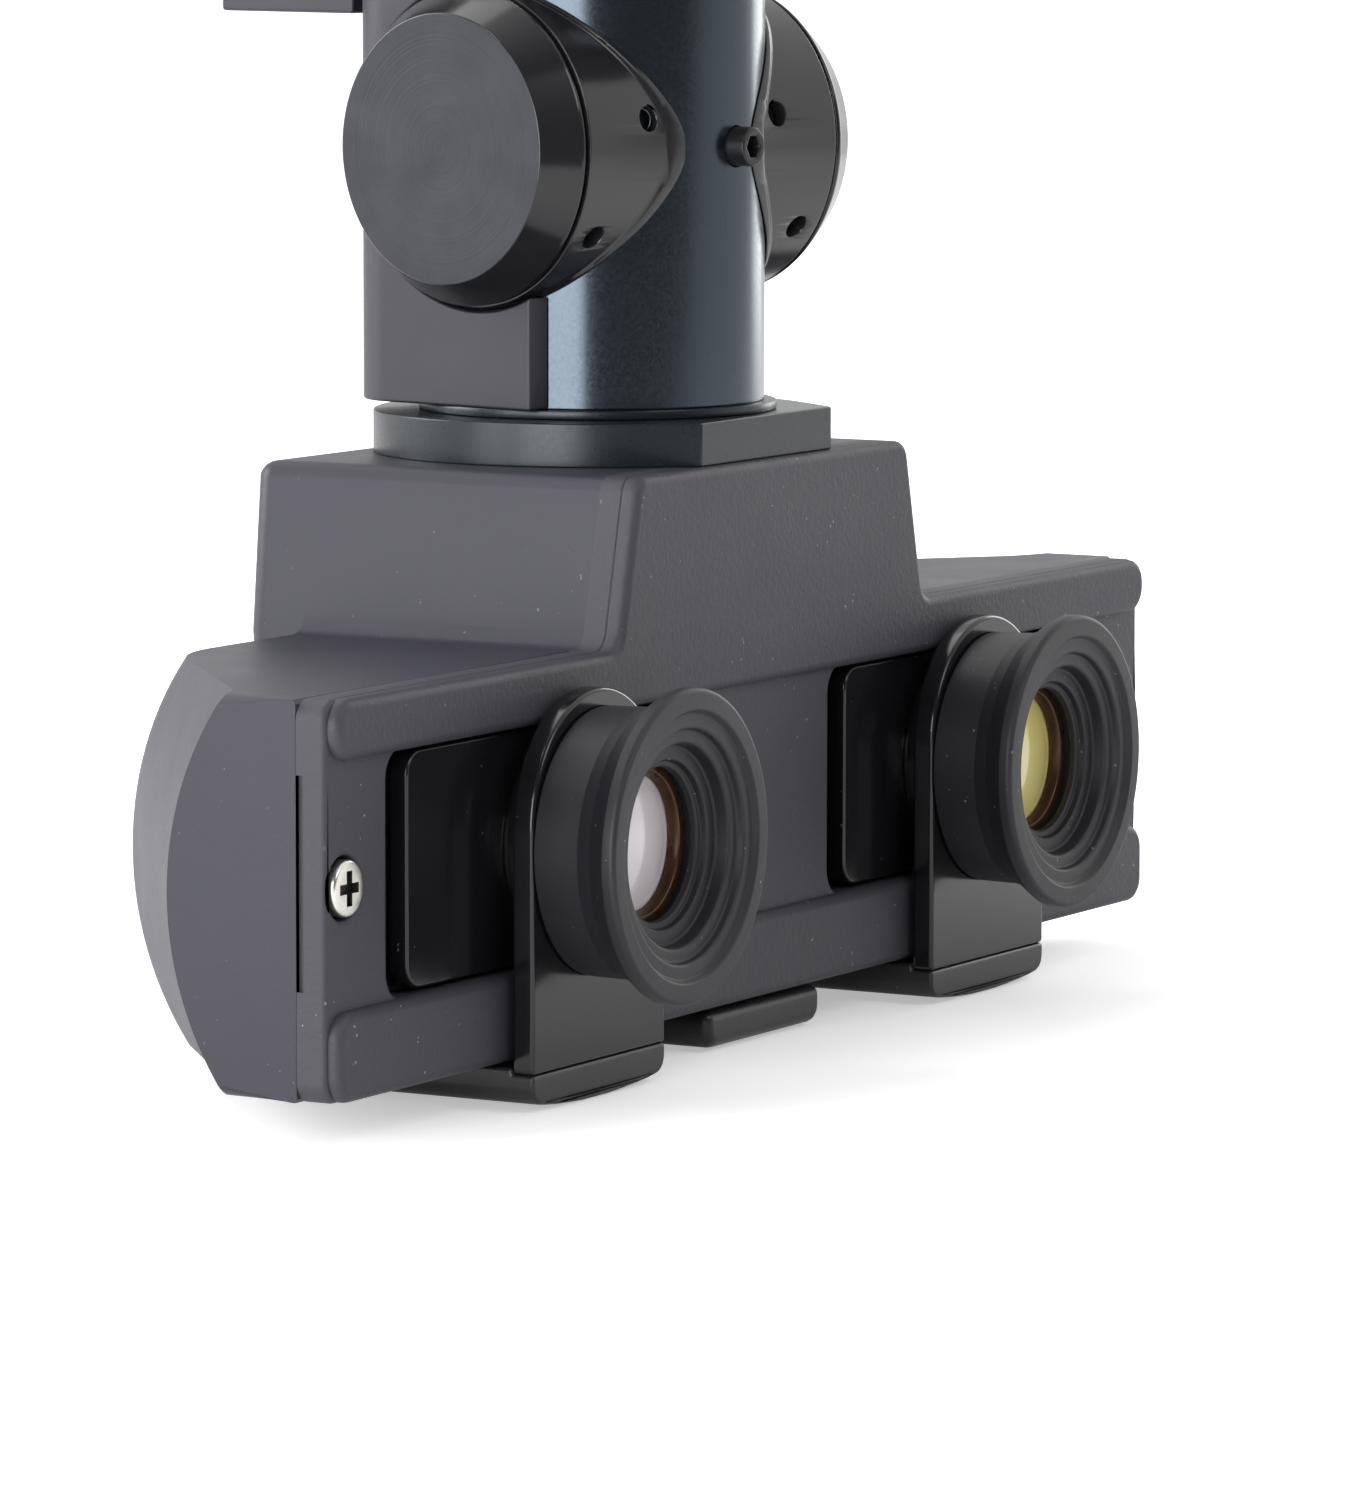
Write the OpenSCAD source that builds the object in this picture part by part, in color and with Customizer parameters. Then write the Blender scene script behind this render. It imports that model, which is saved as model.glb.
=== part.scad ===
// Indirect ophthalmoscope: a binocular viewing block that stands on its two slider feet,
// with a light tower on its deck.
// X runs to the examiner's right, -Y faces the examiner, +Y faces the patient, Z is up.

/* [Viewing block] */
// Width over the two ends
block_w = 136; // [132:0.5:144]
// Height of the wings above the underside
wing_h = 30.2; // [29.5:0.1:33]
// Height of the raised middle above the underside
deck_h = 43.6; // [41:0.1:48]
// Depth of the middle, from the rear face to the front
block_d = 35.8; // [35.2:0.1:40]
// Depth of the wings beside the middle
wing_d = 34.4; // [33.6:0.1:35]
// Depth of the flat ends
end_d = 14.9; // [14:0.1:17]
// Distance from the middle to the knee where the front starts to sweep back
knee_x = 43.8; // [42:0.1:46]
// Radius of the knee
knee_r = 13; // [10:0.5:15]
// Length of the flatter flare before each end
flare_in = 3.7; // [3.2:0.1:4.4]
// Depth that the flare gains over its length
flare_rise = 1.4; // [1:0.1:1.8]
// Radius of the turn from the flare to the sweep
flare_r = 8; // [6:0.5:10]
// Radius of the upright arch of the wings' front
arch_r = 25; // [23:0.5:40]
// Width of the raised middle at the deck
deck_w = 45.2; // [42:0.1:48]
// Width of the raised middle where it meets the wings
hat_w = 51.4; // [49:0.1:54]
// Radius of the upright front corners of the raised middle
hat_r = 4; // [2:0.1:6]
// Radius of the outline corners seen from the rear
corner_r = 1.6; // [1:0.1:2]
// Radius of the fillet between the raised middle and the wings
fillet_r = 1.8; // [1.5:0.1:4]
// Wall of the moulded shell
wall = 2; // [1.8:0.1:2.2]

/* [Rear cover] */
// Thickness of the cover with its lips
cover_t = 3.5; // [3.2:0.1:4]
// Depth of the slide channel below the lips
channel_depth = 1; // [0.8:0.1:1.2]
// Height of the lower lip
lower_lip = 6.8; // [6:0.1:7.2]
// Height of the upper lip
upper_lip = 4.6; // [4.2:0.1:5]
// Distance that the lips stop short of the ends
lip_inset = 0.4; // [0.3:0.1:1]
// Radius of the corners of the lips and of the slots
lip_r = 2.2; // [1.6:0.1:2.3]
// Width of the pry slot in each end seam
pry_w = 16; // [10:0.5:18]
// Depth of the pry slot
pry_depth = 0.6; // [0.4:0.1:0.8]
// Radius of the cover screws
screw_r = 1.1; // [1:0.05:1.2]
// Radius of the cover screw heads
screw_head_r = 2.15; // [2:0.05:2.4]
// Height of the cover screw heads
screw_head_h = 1.3; // [1.2:0.1:1.5]
// Length of the cover screws under the head
screw_len = 8; // [6:0.5:8.5]
// Distance of the cover screws from the ends
screw_in = 2.9; // [2.8:0.1:3.1]

/* [Eyepieces] */
// Distance between the two eyepiece axes at rest
pupil_distance = 66; // [64:0.5:68]
// Travel of each eyepiece to either side
eye_travel = 3; // [2:0.5:3.2]
// Height of the arch's centre above the eyepiece axes
arch_lift = 1.6; // [0.5:0.1:2]
// Height of the eyepiece axes above the middle of the channel
eye_lift = 0.1; // [-0.3:0.1:0.3]
// Reach of the slide plate towards the middle
slide_in = 19; // [17:0.5:19.5]
// Distance between each slot and the cover screw's head
slot_rim = 3.85; // [3.5:0.05:5]
// Thickness of the slide plate
slide_t = 1.6; // [1.3:0.1:1.8]
// Half width of the arched bracket
bracket_r = 10.3; // [9.5:0.1:11]
// Thickness of the arched bracket
bracket_t = 1.9; // [1.8:0.1:2.5]
// Radius of the eyecup rim
rim_r = 12.3; // [11.8:0.1:13]
// Distance from the rear face to the eyecup rim
rim_out = 10.6; // [10:0.1:11.4]
// Height of the slide plate that is left over and under the barrel
plate_rim = 1.4; // [1.2:0.1:2]
// Wall of the eyepiece barrel
barrel_wall = 1.5; // [1.2:0.1:1.6]
// Thickness of the eyepiece lens at its rim
ocular_t = 2; // [1.6:0.1:2.4]

/* [Feet] */
// Height of the underside above the table
foot_h = 3.8; // [3.4:0.1:4.4]
// Length of each foot under the block
foot_len = 24.5; // [22:0.5:30]
// Radius of the crown across each foot
crown_r = 66; // [50:1:90]
// Radius of the foot's side edges
foot_edge_r = 1.4; // [1:0.1:1.5]

/* [Inner optics] */
// Radius of the two guide rods
rod_r = 1.5; // [1.2:0.1:1.8]
// Depth of the guide rods behind the rear face
rod_y = 9.6; // [9.4:0.1:10]
// Depth of the mirror line behind the rear face
optic_y = 22; // [21.5:0.1:22.5]
// Half length of the outer mirrors
mirror_half = 7.6; // [6.5:0.1:8]
// Thickness of the mirrors
mirror_t = 1.5; // [1.2:0.1:1.8]
// Half width of the centre prism
prism_half = 8.5; // [7.5:0.1:8.8]
// Travel of the centre prism towards the patient
prism_travel = 4; // [3:0.5:4.5]
// Width of the finger slide under the block
finger_w = 19; // [16:0.5:22]
// Length of the finger slide
finger_len = 16; // [14.5:0.5:18]
// Width of the patient window
window_w = 38; // [34:0.5:39]
// Height of the patient window
window_h = 10.6; // [9:0.1:10.8]
// Thickness of the window glass
window_t = 1.2; // [1:0.1:1.3]

/* [Tower] */
// Depth of the tower axis behind the rear face
tower_y = 16.8; // [16.4:0.1:17.4]
// Turn of the tower on the deck at rest, in degrees
tower_turn = 12.4; // [0:0.2:14]
// Radius of the ring on the deck
ring_r = 18.3; // [17.8:0.1:18.5]
// Height of the ring
ring_h = 3.5; // [3:0.1:4.2]
// Half width of the ring's flat tab
tab_half = 10.9; // [8:0.1:12]
// Distance of the tab's end from the rear face
tab_in = 1; // [0.8:0.1:2]
// Radius of the tower tube
tube_r = 13.6; // [13.6:0.1:13.9]
// Wall of the tower tube
tube_wall = 2; // [1.8:0.1:2.2]
// Height of the tower tube
tube_h = 33.3; // [30:0.1:36]
// Radius of the spigot on which the tower turns
spigot_r = 10; // [9:0.1:10.5]
// Half width of the square front casing
casing_half = 14.6; // [14.5:0.1:14.9]
// Reach of the front casing towards the patient
casing_front = 15.3; // [15.1:0.1:15.6]
// Reach of the front casing towards the examiner
casing_rear = 5.9; // [5:0.1:6.5]
// Radius of the casing's upright corners
casing_r = 5; // [4:0.1:7]

/* [Side knobs] */
// Distance of the knob axis below the top of the tube
knob_drop = 12.45; // [12:0.05:13]
// Radius of the hubs
hub_r = 12.8; // [12.4:0.1:12.9]
// Radius of the thin saddle rim under each hub
saddle_r = 13.1; // [13:0.05:13.15]
// Radius of the knob face
knob_face_r = 10.8; // [10:0.1:12]
// Thickness of the knobs
knob_t = 3.5; // [3.2:0.1:4.4]
// Radius of the knob shafts
shaft_r = 3.5; // [3:0.1:4]
// Radius of the aperture drum
aperture_drum_r = 8.5; // [8.3:0.1:8.7]
// Radius of the filter drum
filter_drum_r = 6.9; // [6.7:0.1:6.9]
// Wall of both drums
drum_wall = 1.2; // [1:0.1:1.2]
// Radii of the three apertures
aperture_radii = [4.2, 2.8, 1.6];
// Radii of the three filter glasses
filter_radii = [2.7, 2.6, 2.5];

/* [Lamp and head] */
// Height of the lamp head
head_h = 17; // [16.5:0.1:20]
// Half width of the lamp head
head_half = 11.2; // [10.8:0.1:11.3]
// Reach of the lamp head towards the patient
head_front = 16; // [15.5:0.1:17]
// Reach of the light hood beyond the head
hood_len = 15; // [12:0.5:18]
// Drop of the hood's floor below the head
hood_drop = 2.1; // [1:0.1:2.4]
// Wall of the head and the hood
head_wall = 1.8; // [1.6:0.1:2]
// Radius of the mirror knob
tilt_knob_r = 7; // [6.9:0.1:7.6]
// Radius of the mirror shaft
tilt_shaft_r = 1.5; // [1.2:0.1:1.8]
// Radius of the bore that takes the headband arm
arm_bore_r = 2.5; // [2:0.1:3]
// Width of the lug that holds the headband arm
arm_lug_w = 10; // [8:0.5:14]

/* [Hidden] */

// Roundness of full circles
round_fn = 96;
// Points along half of the wings' upright arch
arch_steps = 7;
// Points along each rounded corner of an outline and along each half of the foot's crown
corner_steps = 6;
crown_steps = 5;
// How far every cut runs past what it cuts
overrun = 1;
// Clearance of a seated piece, a turning shaft and a sliding piece
fit_gap = 0.05;
turn_gap = 0.06;
run_gap = 0.3;
// Clearance between the eyepiece brackets and the rear face
bracket_gap = 0.5;

half_w = block_w / 2;
eye_x = pupil_distance / 2;
seam_y = cover_t;
channel_low = lower_lip;
channel_high = wing_h - upper_lip;
screw_x = half_w - screw_in;
eye_z = (channel_low + channel_high) / 2 + eye_lift;
barrel_r = (channel_high - channel_low) / 2 - plate_rim;
screw_z = eye_z - run_gap;
slot_in = eye_x - slide_in - eye_travel - run_gap;
slot_out = screw_x - screw_head_r - slot_rim;
slide_out = slot_out - eye_x - eye_travel - run_gap;
ring_top = deck_h + ring_h;
washer_h = 0.7;
tube_z = ring_top + washer_h + fit_gap;
tube_top = tube_z + tube_h;
knob_z = tube_top - knob_drop;
tube_bore = tube_r - tube_wall;
hub_out = casing_half + run_gap;
knob_out = hub_out + run_gap + knob_t;
head_z = tube_top;
head_top = head_z + head_h;
hood_end = head_front + hood_len;
hood_half = head_half + head_wall / 2;
mirror_z = tube_top + run_gap + tilt_knob_r;
// Height where the front of the raised middle starts, and depth of the wings along their top edge
hat_low = 7;
top_d = wing_d - arch_r + sqrt(arch_r * arch_r - wing_h * wing_h / 4);
// The middle of the part between the eyecup rims and the hood's far corner
hood_reach = tower_y + hood_end * cos(tower_turn) + hood_half * sin(tower_turn);
middle_y = (hood_reach - rim_out) / 2;

// Points of an outline whose corners, given as [x, y, radius], are rounded off
function unit(v) = v / norm(v);
function corner(a, b, c, r) =
    let (
        u = unit(a - b),
        v = unit(c - b),
        half = acos(u * v) / 2,
        centre = b + unit(u + v) * r / sin(half),
        s = b + u * r / tan(half) - centre,
        e = b + v * r / tan(half) - centre,
        start = atan2(s.y, s.x),
        sweep = (atan2(e.y, e.x) - start + 540) % 360 - 180
    )
    [for (i = [0:corner_steps]) centre + r * [cos(start + sweep * i / corner_steps),
        sin(start + sweep * i / corner_steps)]];
function flat(p) = [p[0], p[1]];
function rounded(p) =
    let (n = len(p))
    [for (i = [0:n - 1])
        each p[i][2] > 0
            ? corner(flat(p[(i + n - 1) % n]), flat(p[i]), flat(p[(i + 1) % n]), p[i][2])
            : [flat(p[i])]];

// Whole part: the table is at height zero and the middle of the part is at the origin
module block_frame() {
    translate([0, -middle_y, foot_h]) children();
}

// The tower's own frame: its axis is Z and its knobs lie along X
module tower_frame() {
    block_frame() translate([0, tower_y, 0]) rotate([0, 0, -tower_turn]) children();
}

module on_right() {
    block_frame() translate([eye_x, 0, 0]) children();
}

module on_left() {
    block_frame() mirror([1, 0, 0]) translate([eye_x, 0, 0]) children();
}

// A cylinder along +Y from y to y + h
module rod_y_axis(r, h, fn = round_fn) {
    rotate([-90, 0, 0]) cylinder(r = r, h = h, $fn = fn);
}

// A cylinder along +X
module rod_x_axis(r, h, fn = round_fn) {
    rotate([0, 90, 0]) cylinder(r = r, h = h, $fn = fn);
}

// A box centred on X, from y0 to y1 and z0 to z1
module bar(w, y0, y1, z0, z1) {
    translate([-w / 2, y0, z0]) cube([w, y1 - y0, z1 - z0]);
}

// An outline in X and Z, extruded along +Y from y0 to y1
module upright(points, y0, y1) {
    translate([0, y1, 0]) rotate([90, 0, 0]) linear_extrude(y1 - y0) polygon(points);
}

// Outline of the viewing block seen from the rear, drawn in by the given margin
function rear_outline(m) = rounded([
    [-half_w + m, m, corner_r],
    [half_w - m, m, corner_r],
    [half_w - m, wing_h - m, corner_r],
    [hat_w / 2 - m, wing_h - m, fillet_r],
    [deck_w / 2 - m, deck_h - m, corner_r],
    [-deck_w / 2 + m, deck_h - m, corner_r],
    [-hat_w / 2 + m, wing_h - m, fillet_r],
    [-half_w + m, wing_h - m, corner_r]]);

// Plan of the wings' front from the left end to the right, drawn in by the margin
function sweep_plan(m) = rounded([
    [-half_w + m, end_d - m, 0],
    [-half_w + flare_in, end_d + flare_rise - m, flare_r],
    [-knee_x, wing_d - m, knee_r],
    [knee_x, wing_d - m, knee_r],
    [half_w - flare_in, end_d + flare_rise - m, flare_r],
    [half_w - m, end_d - m, 0]]);

// One upright ring of the wings at x, from the rear underside over the arched front to the rear top
function wing_ring(x, d, m, rear) =
    let (r = arch_r - m, turn = asin((wing_h / 2 - m) / r))
    concat(
        [[x, rear, m]],
        [for (i = [-arch_steps:arch_steps]) let (a = turn * i / arch_steps)
            [x, d - r * (1 - cos(a)), wing_h / 2 + r * sin(a)]],
        [[x, rear, wing_h - m]]);

// Swept wings, drawn in by the margin
module wings(m, rear) {
    rings = [for (p = sweep_plan(m)) wing_ring(p[0], p[1], m, rear)];
    n = len(rings[0]);
    last = len(rings) - 1;
    polyhedron(
        points = [for (ring = rings) each ring],
        faces = concat(
            [[for (j = [0:n - 1]) j]],
            [[for (j = [n - 1:-1:0]) last * n + j]],
            [for (i = [0:last - 1]) for (j = [0:n - 1])
                each let (k = (j + 1) % n)
                    [[i * n + j, (i + 1) * n + k, i * n + k], [i * n + j, (i + 1) * n + j, (i + 1) * n + k]]]));
}

// The raised middle, drawn in by the margin, with the fillets beside it
module hat(m, rear) {
    half = hat_w / 2 - m;
    intersection() {
        upright(rear_outline(m), rear, block_d - m);
        union() {
            translate([0, 0, hat_low + m]) linear_extrude(deck_h) polygon(rounded([
                [-half, rear, 0],
                [half, rear, 0],
                [half, block_d - m, hat_r],
                [-half, block_d - m, hat_r]]));
            bar(2 * (half + fillet_r), rear, top_d - m - fit_gap, wing_h / 2, deck_h);
        }
    }
}

screw_boss_r = screw_r + wall;
finger_neck_w = 5;
finger_neck_len = 4;
finger_neck_y = rod_y + rod_r + bracket_gap + finger_neck_len / 2;
bezel_edge = 3;
rabbet = 2;

module front_shell() {
    color("dimgray") block_frame() difference() {
        union() {
            difference() {
                union() {
                    wings(0, seam_y);
                    hat(0, seam_y);
                }
                wings(wall, seam_y - overrun);
                hat(wall, seam_y - overrun);
            }
            for (s = [-1, 1]) intersection() {
                translate([s * screw_x, seam_y, screw_z]) rod_y_axis(screw_boss_r, screw_len);
                translate([s * (half_w - screw_in - wall / 2), 0, 0])
                    bar(2 * screw_in, 0, block_d, 0, wing_h);
            }
        }
        for (s = [-1, 1]) {
            translate([s * screw_x, seam_y - overrun, screw_z])
                rod_y_axis(screw_r + fit_gap, screw_len - channel_depth + overrun);
        }
        for (z = [channel_low + rod_r, channel_high - rod_r])
            translate([-half_w + wall / 2, rod_y, z]) rod_x_axis(rod_r + fit_gap, block_w - wall);
        bar(window_w, block_d - wall - overrun, block_d + overrun, eye_z - window_h / 2, eye_z + window_h / 2);
        bar(window_w + rabbet, block_d - window_t, block_d + overrun,
            eye_z - window_h / 2 - rabbet / 2, eye_z + window_h / 2 + rabbet / 2);
        bar(finger_neck_w + 2 * run_gap, finger_neck_y - finger_neck_len / 2 - run_gap,
            finger_neck_y + finger_neck_len / 2 + prism_travel + run_gap, -overrun, wall + overrun);
        translate([0, tower_y, deck_h - wall - overrun])
            cylinder(r = spigot_r + run_gap, h = wall + 2 * overrun, $fn = round_fn);
        for (s = [-1, 1]) translate([s * half_w, seam_y, eye_z])
            cube([2 * pry_depth, 2 * pry_depth, pry_w], center = true);
    }
}

// A block as high as the channel with rounded corners, of the given half width, drawn in by the margin
module slot_block(half, m, y0, y1) {
    upright(rounded([
        [-half, channel_low + m, lip_r - m],
        [half, channel_low + m, lip_r - m],
        [half, channel_high - m, lip_r - m],
        [-half, channel_high - m, lip_r - m]]), y0, y1);
}

module rear_cover() {
    floor_y = channel_depth;
    color("#2b2b2e") block_frame() difference() {
        union() {
            upright(rear_outline(0), floor_y, seam_y);
            upright(rounded([
                [-half_w + lip_inset, channel_high, lip_r],
                [half_w - lip_inset, channel_high, lip_r],
                [half_w - lip_inset, wing_h, lip_r],
                [hat_w / 2, wing_h, fillet_r],
                [deck_w / 2, deck_h, corner_r],
                [-deck_w / 2, deck_h, corner_r],
                [-hat_w / 2, wing_h, fillet_r],
                [-half_w + lip_inset, wing_h, lip_r]]), 0, floor_y);
            upright(rounded([
                [-half_w + lip_inset, 0, lip_r],
                [half_w - lip_inset, 0, lip_r],
                [half_w - lip_inset, channel_low, lip_r],
                [-half_w + lip_inset, channel_low, lip_r]]), 0, floor_y);
        }
        for (s = [-1, 1]) {
            translate([s * (slot_in + slot_out) / 2, 0, 0])
                slot_block((slot_out - slot_in) / 2, 0, -overrun, seam_y + overrun);
            translate([s * screw_x, -overrun, screw_z])
                rod_y_axis(screw_r + fit_gap, seam_y + 2 * overrun);
            translate([s * half_w, seam_y, eye_z])
                cube([2 * pry_depth, 2 * pry_depth, pry_w], center = true);
        }
    }
}

dome_share = 1.12;
cross_long_share = 0.55;
cross_wide_share = 0.13;
cross_deep_share = 0.6;

// A pan head screw along +Y with a cross recess, its head seated at y = 0
module pan_screw(r, head_r, head_h, len) {
    difference() {
        union() {
            rod_y_axis(r, len);
            intersection() {
                translate([0, -head_h, 0]) rod_y_axis(head_r, head_h);
                translate([0, head_r - head_h, 0]) sphere(r = head_r * dome_share, $fn = round_fn);
            }
        }
        for (a = [0, 90]) rotate([0, a, 0])
            translate([-head_r * cross_long_share, -head_h - overrun, -head_r * cross_wide_share])
                cube([2 * head_r * cross_long_share, overrun + head_h * cross_deep_share,
                    2 * head_r * cross_wide_share]);
    }
}

module cover_screws() {
    color("silver") block_frame() for (s = [-1, 1])
        translate([s * screw_x, channel_depth, screw_z])
            pan_screw(screw_r, screw_head_r, screw_head_h, screw_len);
}

module patient_window() {
    color("lightcyan", 0.4) block_frame()
        bar(window_w + rabbet - 2 * fit_gap, block_d - window_t, block_d,
            eye_z - window_h / 2 - rabbet / 2 + fit_gap, eye_z + window_h / 2 + rabbet / 2 - fit_gap);
}

module window_bezel() {
    w = window_w / 2 + bezel_edge;
    h = window_h / 2 + bezel_edge;
    color("black") block_frame() difference() {
        upright(rounded([
            [-w, eye_z - h, corner_r],
            [w, eye_z - h, corner_r],
            [w, eye_z + h, corner_r],
            [-w, eye_z + h, corner_r]]), block_d, block_d + channel_depth);
        bar(window_w, block_d - overrun, block_d + channel_depth + overrun,
            eye_z - window_h / 2, eye_z + window_h / 2);
    }
}

module guide_rods() {
    color("silver") block_frame() for (z = [channel_low + rod_r, channel_high - rod_r])
        translate([-half_w + wall / 2 + fit_gap, rod_y, z]) rod_x_axis(rod_r, block_w - wall - 2 * fit_gap);
}

// Turn to the place where each side of the tab meets the ring
tab_turn = atan2(tower_y - tab_in, tab_half) - acos(ring_r / norm([tab_half, tower_y - tab_in]));

// Ring on the deck with a flat end towards the examiner, whose corners run out from the ring
module base_ring() {
    color("#1d2326") block_frame() translate([0, tower_y, deck_h]) difference() {
        union() {
            difference() {
                cylinder(r = ring_r, h = ring_h, $fn = round_fn);
                bar(2 * ring_r, -ring_r - overrun, tab_in - tower_y, -overrun, ring_h + overrun);
            }
            linear_extrude(ring_h) polygon([
                [-tab_half, tab_in - tower_y],
                [tab_half, tab_in - tower_y],
                [ring_r * cos(tab_turn), -ring_r * sin(tab_turn)],
                [-ring_r * cos(tab_turn), -ring_r * sin(tab_turn)]]);
        }
        translate([0, 0, -overrun]) cylinder(r = spigot_r + turn_gap, h = ring_h + 2 * overrun, $fn = round_fn);
    }
}

// Centre prism on its table, moved by the finger slide under the block
table_top = eye_z - prism_half + run_gap;
prism_front = optic_y + prism_half / 2;

module prism_table() {
    color("#222222") block_frame() union() {
        bar(2 * prism_half, finger_neck_y - finger_neck_len / 2, optic_y,
            wall + run_gap, table_top - fit_gap);
        bar(finger_neck_w, finger_neck_y - finger_neck_len / 2, finger_neck_y + finger_neck_len / 2,
            -run_gap, table_top - wall);
    }
}

module centre_prism() {
    color("lightblue", 0.6) block_frame() translate([0, 0, table_top])
        linear_extrude(2 * (eye_z - table_top)) polygon([
            [-prism_half, prism_front - prism_half],
            [prism_half, prism_front - prism_half],
            [0, prism_front]]);
}

module finger_slide() {
    y0 = channel_depth;
    color("#1b1b1d") block_frame() upright(rounded([
        [-finger_w / 2, -run_gap - fit_gap, 0],
        [-finger_w / 2, -foot_h + run_gap, foot_edge_r],
        [finger_w / 2, -foot_h + run_gap, foot_edge_r],
        [finger_w / 2, -run_gap - fit_gap, 0]]), y0, y0 + finger_len);
}

// Slide plate in the rear cover's slot
module slide_plate() {
    y0 = channel_depth + run_gap;
    difference() {
        translate([(slide_out - slide_in) / 2, 0, 0])
            slot_block((slide_out + slide_in) / 2, run_gap, y0, y0 + slide_t);
        translate([0, 0, eye_z]) rod_y_axis(barrel_r + fit_gap, cover_t + overrun);
    }
}

module slide_plate_left() {
    color("#101012") on_left() slide_plate();
}

module slide_plate_right() {
    color("#101012") on_right() slide_plate();
}

bracket_rear = -bracket_gap - bracket_t;
bracket_low = -bracket_gap - run_gap;

// Arched bracket in front of the lips, with a collar that reaches the slide plate
module bracket() {
    difference() {
        union() {
            translate([0, bracket_rear, eye_z + arch_lift]) rod_y_axis(bracket_r, bracket_t);
            bar(2 * bracket_r, bracket_rear, -bracket_gap, bracket_low, eye_z + arch_lift);
            translate([0, bracket_rear, eye_z])
                rod_y_axis(barrel_r + run_gap, -bracket_rear + channel_depth + run_gap);
        }
        translate([0, bracket_rear - overrun, eye_z])
            rod_y_axis(barrel_r - barrel_wall / 2 + fit_gap, cover_t + 2 * overrun - bracket_rear);
        translate([0, bracket_rear + bracket_t / 2, eye_z])
            rod_y_axis(barrel_r + fit_gap, cover_t + overrun - bracket_rear);
    }
}

module bracket_left() {
    color("#141416") on_left() bracket();
}

module bracket_right() {
    color("#141416") on_right() bracket();
}

// Crowned foot under the bracket
module foot() {
    rise = crown_r - sqrt(crown_r * crown_r - bracket_r * bracket_r);
    crown_points = [for (i = [-crown_steps + 1:crown_steps - 1]) let (x = bracket_r * i / crown_steps)
        [x, -foot_h + crown_r - sqrt(crown_r * crown_r - x * x), 0]];
    intersection() {
        upright(rounded(concat(
            [[-bracket_r, -run_gap, 0], [-bracket_r, -foot_h + rise, foot_edge_r]],
            crown_points,
            [[bracket_r, -foot_h + rise, foot_edge_r], [bracket_r, -run_gap, 0]])),
            bracket_rear, bracket_rear + foot_len);
        difference() {
            translate([-bracket_r - overrun, 0, 0]) rotate([90, 0, 90])
                linear_extrude(2 * (bracket_r + overrun)) polygon(rounded([
                    [bracket_rear, -run_gap, 0],
                    [bracket_rear, -foot_h, foot_edge_r / 2],
                    [bracket_rear + foot_len, -foot_h, foot_edge_r],
                    [bracket_rear + foot_len, -run_gap, 0]]));
            bar(2 * (bracket_r + overrun), bracket_rear - overrun, -bracket_gap, bracket_low, 0);
        }
    }
}

module foot_left() {
    color("#17171a") on_left() foot();
}

module foot_right() {
    color("#17171a") on_right() foot();
}

barrel_in = seam_y + run_gap;
ocular_y = -rim_out / 2;
eyecup_back = bracket_rear - wall;
seat_r = barrel_r - barrel_wall;
sleeve_fit_r = barrel_r - barrel_wall / 2;
lens_ring_t = 1;
lens_ring_wall = 1.2;
barrel_front = ocular_y - lens_ring_t - bracket_gap;

// Stepped barrel from behind the slide plate to the eyecup
module barrel() {
    shoulder_y = bracket_rear + bracket_t / 2;
    difference() {
        union() {
            translate([0, shoulder_y, eye_z]) rod_y_axis(barrel_r, barrel_in + wall - shoulder_y);
            translate([0, barrel_front, eye_z]) rod_y_axis(sleeve_fit_r, shoulder_y + overrun - barrel_front);
            translate([0, eyecup_back + run_gap, eye_z]) rod_y_axis(bracket_r - run_gap, wall - run_gap);
        }
        translate([0, barrel_front - overrun, eye_z])
            rod_y_axis(seat_r - barrel_wall / 2, barrel_in + wall + 2 * overrun - barrel_front);
        translate([0, barrel_front - overrun, eye_z])
            rod_y_axis(seat_r, ocular_y + ocular_t - barrel_front + overrun);
    }
}

module barrel_left() {
    color("#1a1a1c") on_left() barrel();
}

module barrel_right() {
    color("#1a1a1c") on_right() barrel();
}

// Radii and depths of the steps from the rim down to the lens opening
step_radius_shares = [0.846, 0.732, 0.634, 0.528, 0.488];
step_depth_shares = [0.044, 0.108, 0.225, 0.284, 0.5];
sleeve_share = 0.86;

// Rubber eyecup: sleeve, flared rim, four steps down and a lip over the barrel's end
module eyecup() {
    sleeve_r = rim_r * sleeve_share;
    back = -eyecup_back - run_gap;
    translate([0, 0, eye_z]) rotate([90, 0, 0]) difference() {
        union() {
            translate([0, 0, back]) cylinder(r = sleeve_r, h = rim_out - back - wall, $fn = round_fn);
            translate([0, 0, rim_out - 2 * wall]) cylinder(r1 = sleeve_r, r2 = rim_r, h = wall, $fn = round_fn);
            translate([0, 0, rim_out - wall]) cylinder(r = rim_r, h = wall, $fn = round_fn);
        }
        translate([0, 0, back - overrun])
            cylinder(r = sleeve_fit_r + fit_gap, h = fit_gap - barrel_front - back + overrun, $fn = round_fn);
        for (i = [0:len(step_radius_shares) - 1]) translate([0, 0, rim_out * (1 - step_depth_shares[i])])
            cylinder(r = rim_r * step_radius_shares[i], h = rim_out, $fn = round_fn);
    }
}

module eyecup_left() {
    color("#262628") on_left() eyecup();
}

module eyecup_right() {
    color("#262628") on_right() eyecup();
}

// Radius of the dome on each eyepiece lens
ocular_dome_r = 20;

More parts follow.
